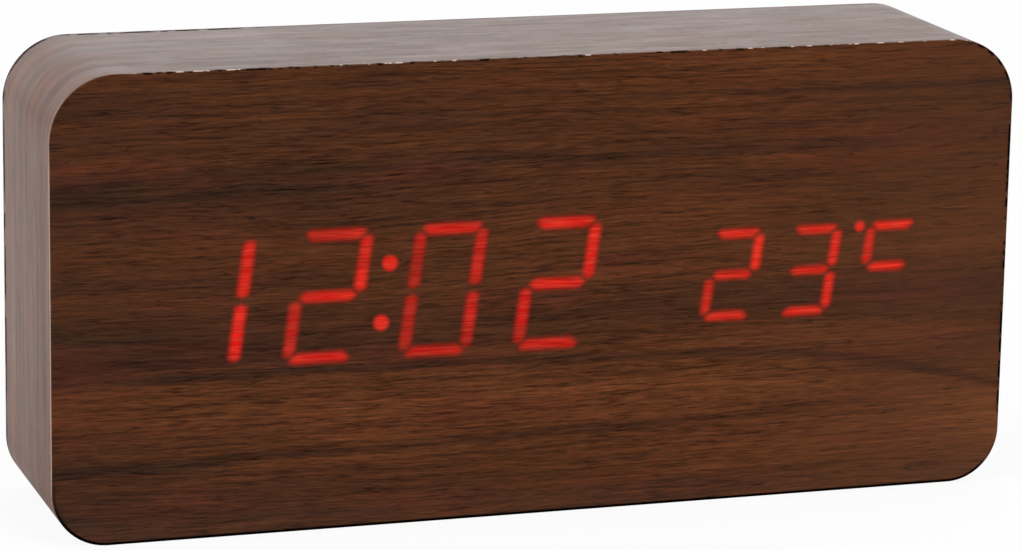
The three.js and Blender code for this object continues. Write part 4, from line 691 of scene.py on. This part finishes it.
# Leads: a grey ribbon between the boards in two cream sockets, and four small insulated wires.
# The red and black pairs carry the cells' and the inlet's current.
socket_finish = moulded("cream_socket", colour(226, 220, 202), 0.5)
dress(socket_finish, "display_connector", "control_connector")
ribbon_finish = Finish("ribbon")
x, y, z = ribbon_finish.place()
wire_pitch = 1.27
ribs = abs((z / wire_pitch).alone("FRACT") - 0.5)
ribbon_finish.set(ribbon_finish.shader, {
    "Base Color": ribbon_finish.blend(ribs.rise(0.42, 0.5), colour(150, 152, 154), colour(96, 98, 101)),
    "Roughness": 0.45 + 0.1 * ribbon_finish.noise(x, y, z)})
ribbon_finish.bump(ribs.rise(0.5, 0.1), 0.3)
dress(ribbon_finish, "ribbon_cable")
red_wire_finish = moulded("red_wire", colour(176, 30, 26), 0.42)
dress(red_wire_finish, "battery_wire_red", "jack_wire_red")
black_wire_finish = moulded("black_wire", colour(30, 30, 32), 0.42)
dress(black_wire_finish, "battery_wire_black", "jack_wire_black")


# Rear cover and battery door: black polystyrene from one tool, with a fine sparked texture.
# Four screws hold the cover down, and the door hooks in below and snaps shut above.
cover_finish = moulded("black_cover", colour(29, 29, 30), 0.52, grain=0.03, grain_mm=0.22)
dress(cover_finish, "rear_cover", "battery_door")


# Buttons: three dished caps in the cover's own black, smoother where fingers rub them.
# Each has a flange that holds it behind the cover, and a raised mark: a ring to set, arrowheads up and down.
def turned(profile_mm, centre, axis, segments=64):
    """A round solid: its outline, as distances from the axis and heights along it, turned right round."""
    shape = bmesh.new()
    aside = axis.orthogonal().normalized()
    rail = [
        shape.verts.new(centre + aside * (radius / 1000) + axis * (height / 1000))
        for radius, height in profile_mm]
    edges = [shape.edges.new(pair) for pair in zip(rail, rail[1:])]
    bmesh.ops.spin(
        shape, geom=rail + edges, cent=centre, axis=axis, dvec=(0, 0, 0), angle=math.tau,
        space=Matrix.Identity(4), steps=segments, use_merge=True, use_normal_flip=False, use_duplicate=False)
    bmesh.ops.remove_doubles(shape, verts=list(shape.verts), dist=1e-6)
    bmesh.ops.recalc_face_normals(shape, faces=list(shape.faces))
    return shape


def eased(corner, offsets):
    """The points that ease a corner of an outline, each by how far from it across and along the axis."""
    return [(corner[0] + across, corner[1] + along) for across, along in offsets]


def stand_in(name, shape, finish, body, node):
    """Makes a shape the piece that is seen in place of a CAD node."""
    piece = piece_from(name, shape, finish, body)
    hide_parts(node)


backwards = Vector((0, 1, 0))
cap, flange, flange_thick, flange_depth, dish_depth = 3.0, 4.2, 1.0, 3.1, 0.16
crown_round = ((0, -0.42), (-0.04, -0.24), (-0.16, -0.1), (-0.34, -0.02), (-0.54, 0))
dish_slope = ((-0.7, -0.02), (-1.1, -0.1), (-1.5, -0.14))
mark_size, mark_line, mark_edge, mark_sink = 1.15, 0.32, 0.06, 0.2
for name in ("set", "up", "down"):
    node = name + "_button"
    low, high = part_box(node)
    middle = Vector(((low.x + high.x) / 2, 0, (low.z + high.z) / 2))
    foot, cap_top = low.y * 1000, high.y * 1000
    dish, flange_back = cap_top - dish_depth, cap_top - flange_depth
    flange_front = flange_back - flange_thick
    outline = [
        (0, foot), (cap, foot), (cap, flange_front), (flange, flange_front), (flange, flange_back),
        (cap, flange_back), *eased((cap, cap_top), crown_round + dish_slope)]
    if name == "set":
        inside = mark_size - mark_line
        outline += [
            (mark_size, dish), (mark_size, cap_top - mark_edge), (mark_size - mark_edge, cap_top),
            (inside + mark_edge, cap_top), (inside, cap_top - mark_edge), (inside, dish)]
    button = turned(outline + [(0, dish)], middle, backwards)
    if name != "set":
        points = Matrix.Rotation(0 if name == "down" else math.pi, 4, "Z")
        upright = Matrix.Rotation(math.radians(-90), 4, "X") @ points
        arrow = bmesh.ops.create_circle(
            button, cap_ends=True, radius=mark_size / 1000, segments=3,
            matrix=Matrix.Translation(middle + backwards * (cap_top / 1000)) @ upright)
        top = {face for vert in arrow["verts"] for face in vert.link_faces}
        sides = bmesh.ops.extrude_face_region(button, geom=list(top), use_keep_orig=True)["geom"]
        sunk = [part for part in sides if isinstance(part, bmesh.types.BMVert)]
        bmesh.ops.translate(button, verts=sunk, vec=-backwards * (mark_sink / 1000))
        bmesh.ops.recalc_face_normals(button, faces=list(button.faces))
    button_finish = Finish(node + "_black")
    x, y, z = button_finish.place()
    off_middle = ((x - middle.x * 1000) ** 2 + (z - middle.z * 1000) ** 2) ** 0.5
    grain = button_finish.noise(x * 4.5, y * 4.5, z * 4.5)
    rubbed = off_middle.rise(2.6, 0.8) * button_finish.noise(x * 0.8, y, z * 0.8).rise(0.3, 0.6)
    black = button_finish.blend(grain * 0.6 + rubbed * 0.4, colour(26, 26, 28), colour(44, 44, 47))
    raised = y.rise(cap_top - 0.1, cap_top - 0.01)
    button_finish.set(button_finish.shader, {
        "Base Color": button_finish.blend(raised * 0.7, black, colour(84, 84, 88)),
        "Roughness": 0.50 - 0.16 * rubbed + 0.08 * grain})
    button_finish.bump(grain, 0.012, eased_mm=0.12)
    stand_in(node + "_cap", button, button_finish, node, node)


# Inlet: a black panel socket for a round plug, with a nickel pin in its bore and two tags for its wires.
# Its flange sits on the cover, and its nut behind the cover holds it.
nut_low, nut_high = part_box("dc_jack_nut")
jack_middle = Vector(((nut_low.x + nut_high.x) / 2, 0, (nut_low.z + nut_high.z) / 2))
jack_low, jack_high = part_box("dc_jack")
pin_low, pin_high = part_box("dc_jack_pin")
barrel, jack_flange, bore, pin = 4.0, 5.5, 3.15, 1.0
flange_round = ((0, -0.4), (-0.08, -0.18), (-0.3, -0.04), (-0.55, 0))
lip_round = ((0.45, 0), (0.17, -0.06), (0, -0.3))
pin_round = ((0, -0.45), (-0.08, -0.2), (-0.3, -0.05), (-0.6, 0))
tag_spacing, tag_size, tag_root = 4.0, (0.5, 2.7, 1.6), 0.1
jack_end, jack_face = jack_low.y * 1000 + tag_size[1] - tag_root, jack_high.y * 1000
bore_end, pin_end = pin_low.y * 1000, pin_high.y * 1000
cover_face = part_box("rear_cover")[1].y * 1000
inlet = turned([
    (0, jack_end), (barrel, jack_end), (barrel, cover_face), (jack_flange, cover_face),
    *eased((jack_flange, jack_face), flange_round), *eased((bore, jack_face), lip_round),
    (bore, bore_end), (0, bore_end)], jack_middle, backwards)
tag_shape = Matrix.Diagonal([length / 1000 for length in tag_size] + [1])
for side in (-1, 1):
    off_middle = Vector((side * tag_spacing / 2, jack_end - tag_size[1] / 2 + tag_root, 0)) / 1000
    tag_place = Matrix.Translation(jack_middle + off_middle)
    bmesh.ops.create_cube(inlet, size=1, matrix=tag_place @ tag_shape)
jack_finish = moulded("inlet_plastic", colour(24, 24, 26), 0.38, grain=0.006)
stand_in("power_inlet", inlet, jack_finish, "clock", "dc_jack")
inlet_pin = turned(
    [(0, bore_end), (pin, bore_end), *eased((pin, pin_end), pin_round), (0, pin_end)],
    jack_middle, backwards, segments=32)
stand_in("power_inlet_pin", inlet_pin, nickel_finish, "clock", "dc_jack_pin")


# Cells: three slim dry cells, a steel can in a printed shrink sleeve that folds over both its ends.
# They lie in turn head to tail, each with its nub towards the contact with the dimple.
nub_share, nub_length, ring_at, head_from = 0.36, 1.0, 32.6, 33.0
recess, recess_depth, recess_slope = 2.7, 0.2, 0.25
foot_round = ((-0.7, 0), (-0.25, 0.1), (-0.06, 0.3), (0, 0.6))
groove = ((0, -3.1), (-0.1, -2.8), (-0.1, -2.2), (0, -1.9))
shoulder_round = ((0, -0.7), (-0.08, -0.35), (-0.35, -0.1), (-0.8, 0))
nub_foot = ((0.5, 0), (0.1, 0.1), (0, 0.3))
nub_round = ((0, -0.25), (-0.1, -0.07), (-0.3, 0))
for number, towards in ((1, 1), (2, -1), (3, 1)):
    node = "battery_cell_" + str(number)
    low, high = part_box(node)
    can, can_length = (high.z - low.z) * 500, (high.x - low.x) * 1000
    nub, shoulder = can * nub_share, can_length - nub_length
    axis = Vector((towards, 0, 0))
    start = Vector((low.x if towards > 0 else high.x, (low.y + high.y) / 2, (low.z + high.z) / 2))
    cell = turned([
        (0, recess_depth), (recess, recess_depth), (recess + recess_slope, 0),
        *eased((can, 0), foot_round), *eased((can, shoulder), groove + shoulder_round),
        *eased((nub, shoulder), nub_foot), *eased((nub, can_length), nub_round), (0, can_length)],
        start, axis)
    cell_finish = Finish("cell_sleeve_" + str(number))
    x, y, z = cell_finish.place()
    from_axis = ((y - start.y * 1000) ** 2 + (z - start.z * 1000) ** 2) ** 0.5
    along = (x - start.x * 1000) * float(towards)
    steel = from_axis.rise(can - 0.72, can - 0.78)
    head = along.rise(head_from, head_from + 0.1)
    line = abs(along - ring_at).rise(0.3, 0.2)
    scuffs = cell_finish.noise(x * 0.4, y * 3, z * 3, detail=3)
    sleeve = cell_finish.blend(scuffs, colour(30, 44, 60), colour(42, 58, 76))
    sleeve = cell_finish.blend(head, sleeve, colour(176, 178, 176))
    sleeve = cell_finish.blend(line, sleeve, colour(214, 150, 40))
    cell_finish.set(cell_finish.shader, {
        "Base Color": cell_finish.blend(steel, sleeve, colour(196, 196, 192)),
        "Metallic": steel.most(head * 0.7), "Roughness": 0.22 + 0.16 * scuffs + 0.06 * steel})
    cell_finish.bump(scuffs, 0.01)
    stand_in("dry_cell_" + str(number), cell, cell_finish, "clock", node)


# Floor and light: a pale sweep, soft lamps in front on the right and on the left, a bright room behind.
# The room in front of the clock is dim, so its face keeps its colour and only the sides take a sheen.
sweep_radius = 6
floor_shape = bmesh.new()
bmesh.ops.create_circle(floor_shape, cap_ends=True, radius=sweep_radius, segments=64)
floor_mesh = bpy.data.meshes.new("floor")
floor_shape.to_mesh(floor_mesh)
floor_shape.free()
floor = bpy.data.objects.new("floor", floor_mesh)
bpy.context.scene.collection.objects.link(floor)
floor_finish = Finish("pale_floor", {
    "Roughness": 0.9, "Specular IOR Level": 0.0, "Base Color": (0.86, 0.86, 0.86, 1)})
x, y, z = floor_finish.place()
seen = floor_finish.node("ShaderNodeLightPath", out="Is Camera Ray")
mirrored = floor_finish.node("ShaderNodeLightPath", out="Is Glossy Ray")
front_dim = (0.35 + 0.65 * y.rise(face_y - 0.5, face_y - 13.0)) * mirrored
white = floor_finish.node("ShaderNodeEmission", None, {"Color": (1, 1, 1, 1), "Strength": 1.0})
dim = floor_finish.node("ShaderNodeEmission", None, {"Color": (0.03, 0.03, 0.03, 1), "Strength": 1.0})
matt = Flow(floor_finish, floor_finish.shader.outputs[0])
part_white = floor_finish.node("ShaderNodeMixShader", None, {0: seen * 0.9, 1: matt, 2: white})
all_floor = floor_finish.node("ShaderNodeMixShader", None, {0: front_dim, 1: part_white, 2: dim})
floor_finish.set(floor_finish.tree.nodes["Material Output"], {"Surface": all_floor})
floor_mesh.materials.append(floor_finish.material)

bpy.context.scene.world = bpy.data.worlds.new("studio")
room = Finish("studio", {"Color": (1, 1, 1, 1)}, bpy.context.scene.world)
direction = room.node("ShaderNodeTexCoord", out="Generated")
to_right = room.node("ShaderNodeSeparateXYZ", None, {0: direction}, out=0)
to_back = room.node("ShaderNodeSeparateXYZ", None, {0: direction}, out=1)
behind = to_back.rise(-0.45, 0.4) * (0.76 + 0.26 * to_right.rise(-0.35, 0.25))
camera_ray = room.node("ShaderNodeLightPath", out="Is Camera Ray")
clear_ray = room.node("ShaderNodeLightPath", out="Is Transmission Ray")
looked_at = camera_ray.most(clear_ray)
lit_room = 0.04 + 1.06 * behind
room.set(room.shader, {"Strength": lit_room * (1 - looked_at) + looked_at})

lamp_table = (  # name, place, width of its disc, power in watts
    ("key_lamp", (0.7, -1.6, 1.1), 1.4, 31.6),
    ("side_lamp", (-1.9, -0.25, 0.7), 1.2, 43.0),
)
aim = Vector((0, 0, case_height / 2))
for name, at, size, power in lamp_table:
    lamp_data = bpy.data.lights.new(name, "AREA")
    lamp_data.shape = "DISK"
    lamp_data.size = size
    lamp_data.energy = power
    lamp = bpy.data.objects.new(name, lamp_data)
    lamp.location = at
    lamp.rotation_euler = (aim - Vector(at)).to_track_quat("-Z", "Y").to_euler()
    lamp.visible_glossy = False
    bpy.context.scene.collection.objects.link(lamp)

bpy.context.scene.view_settings.view_transform = "Standard"
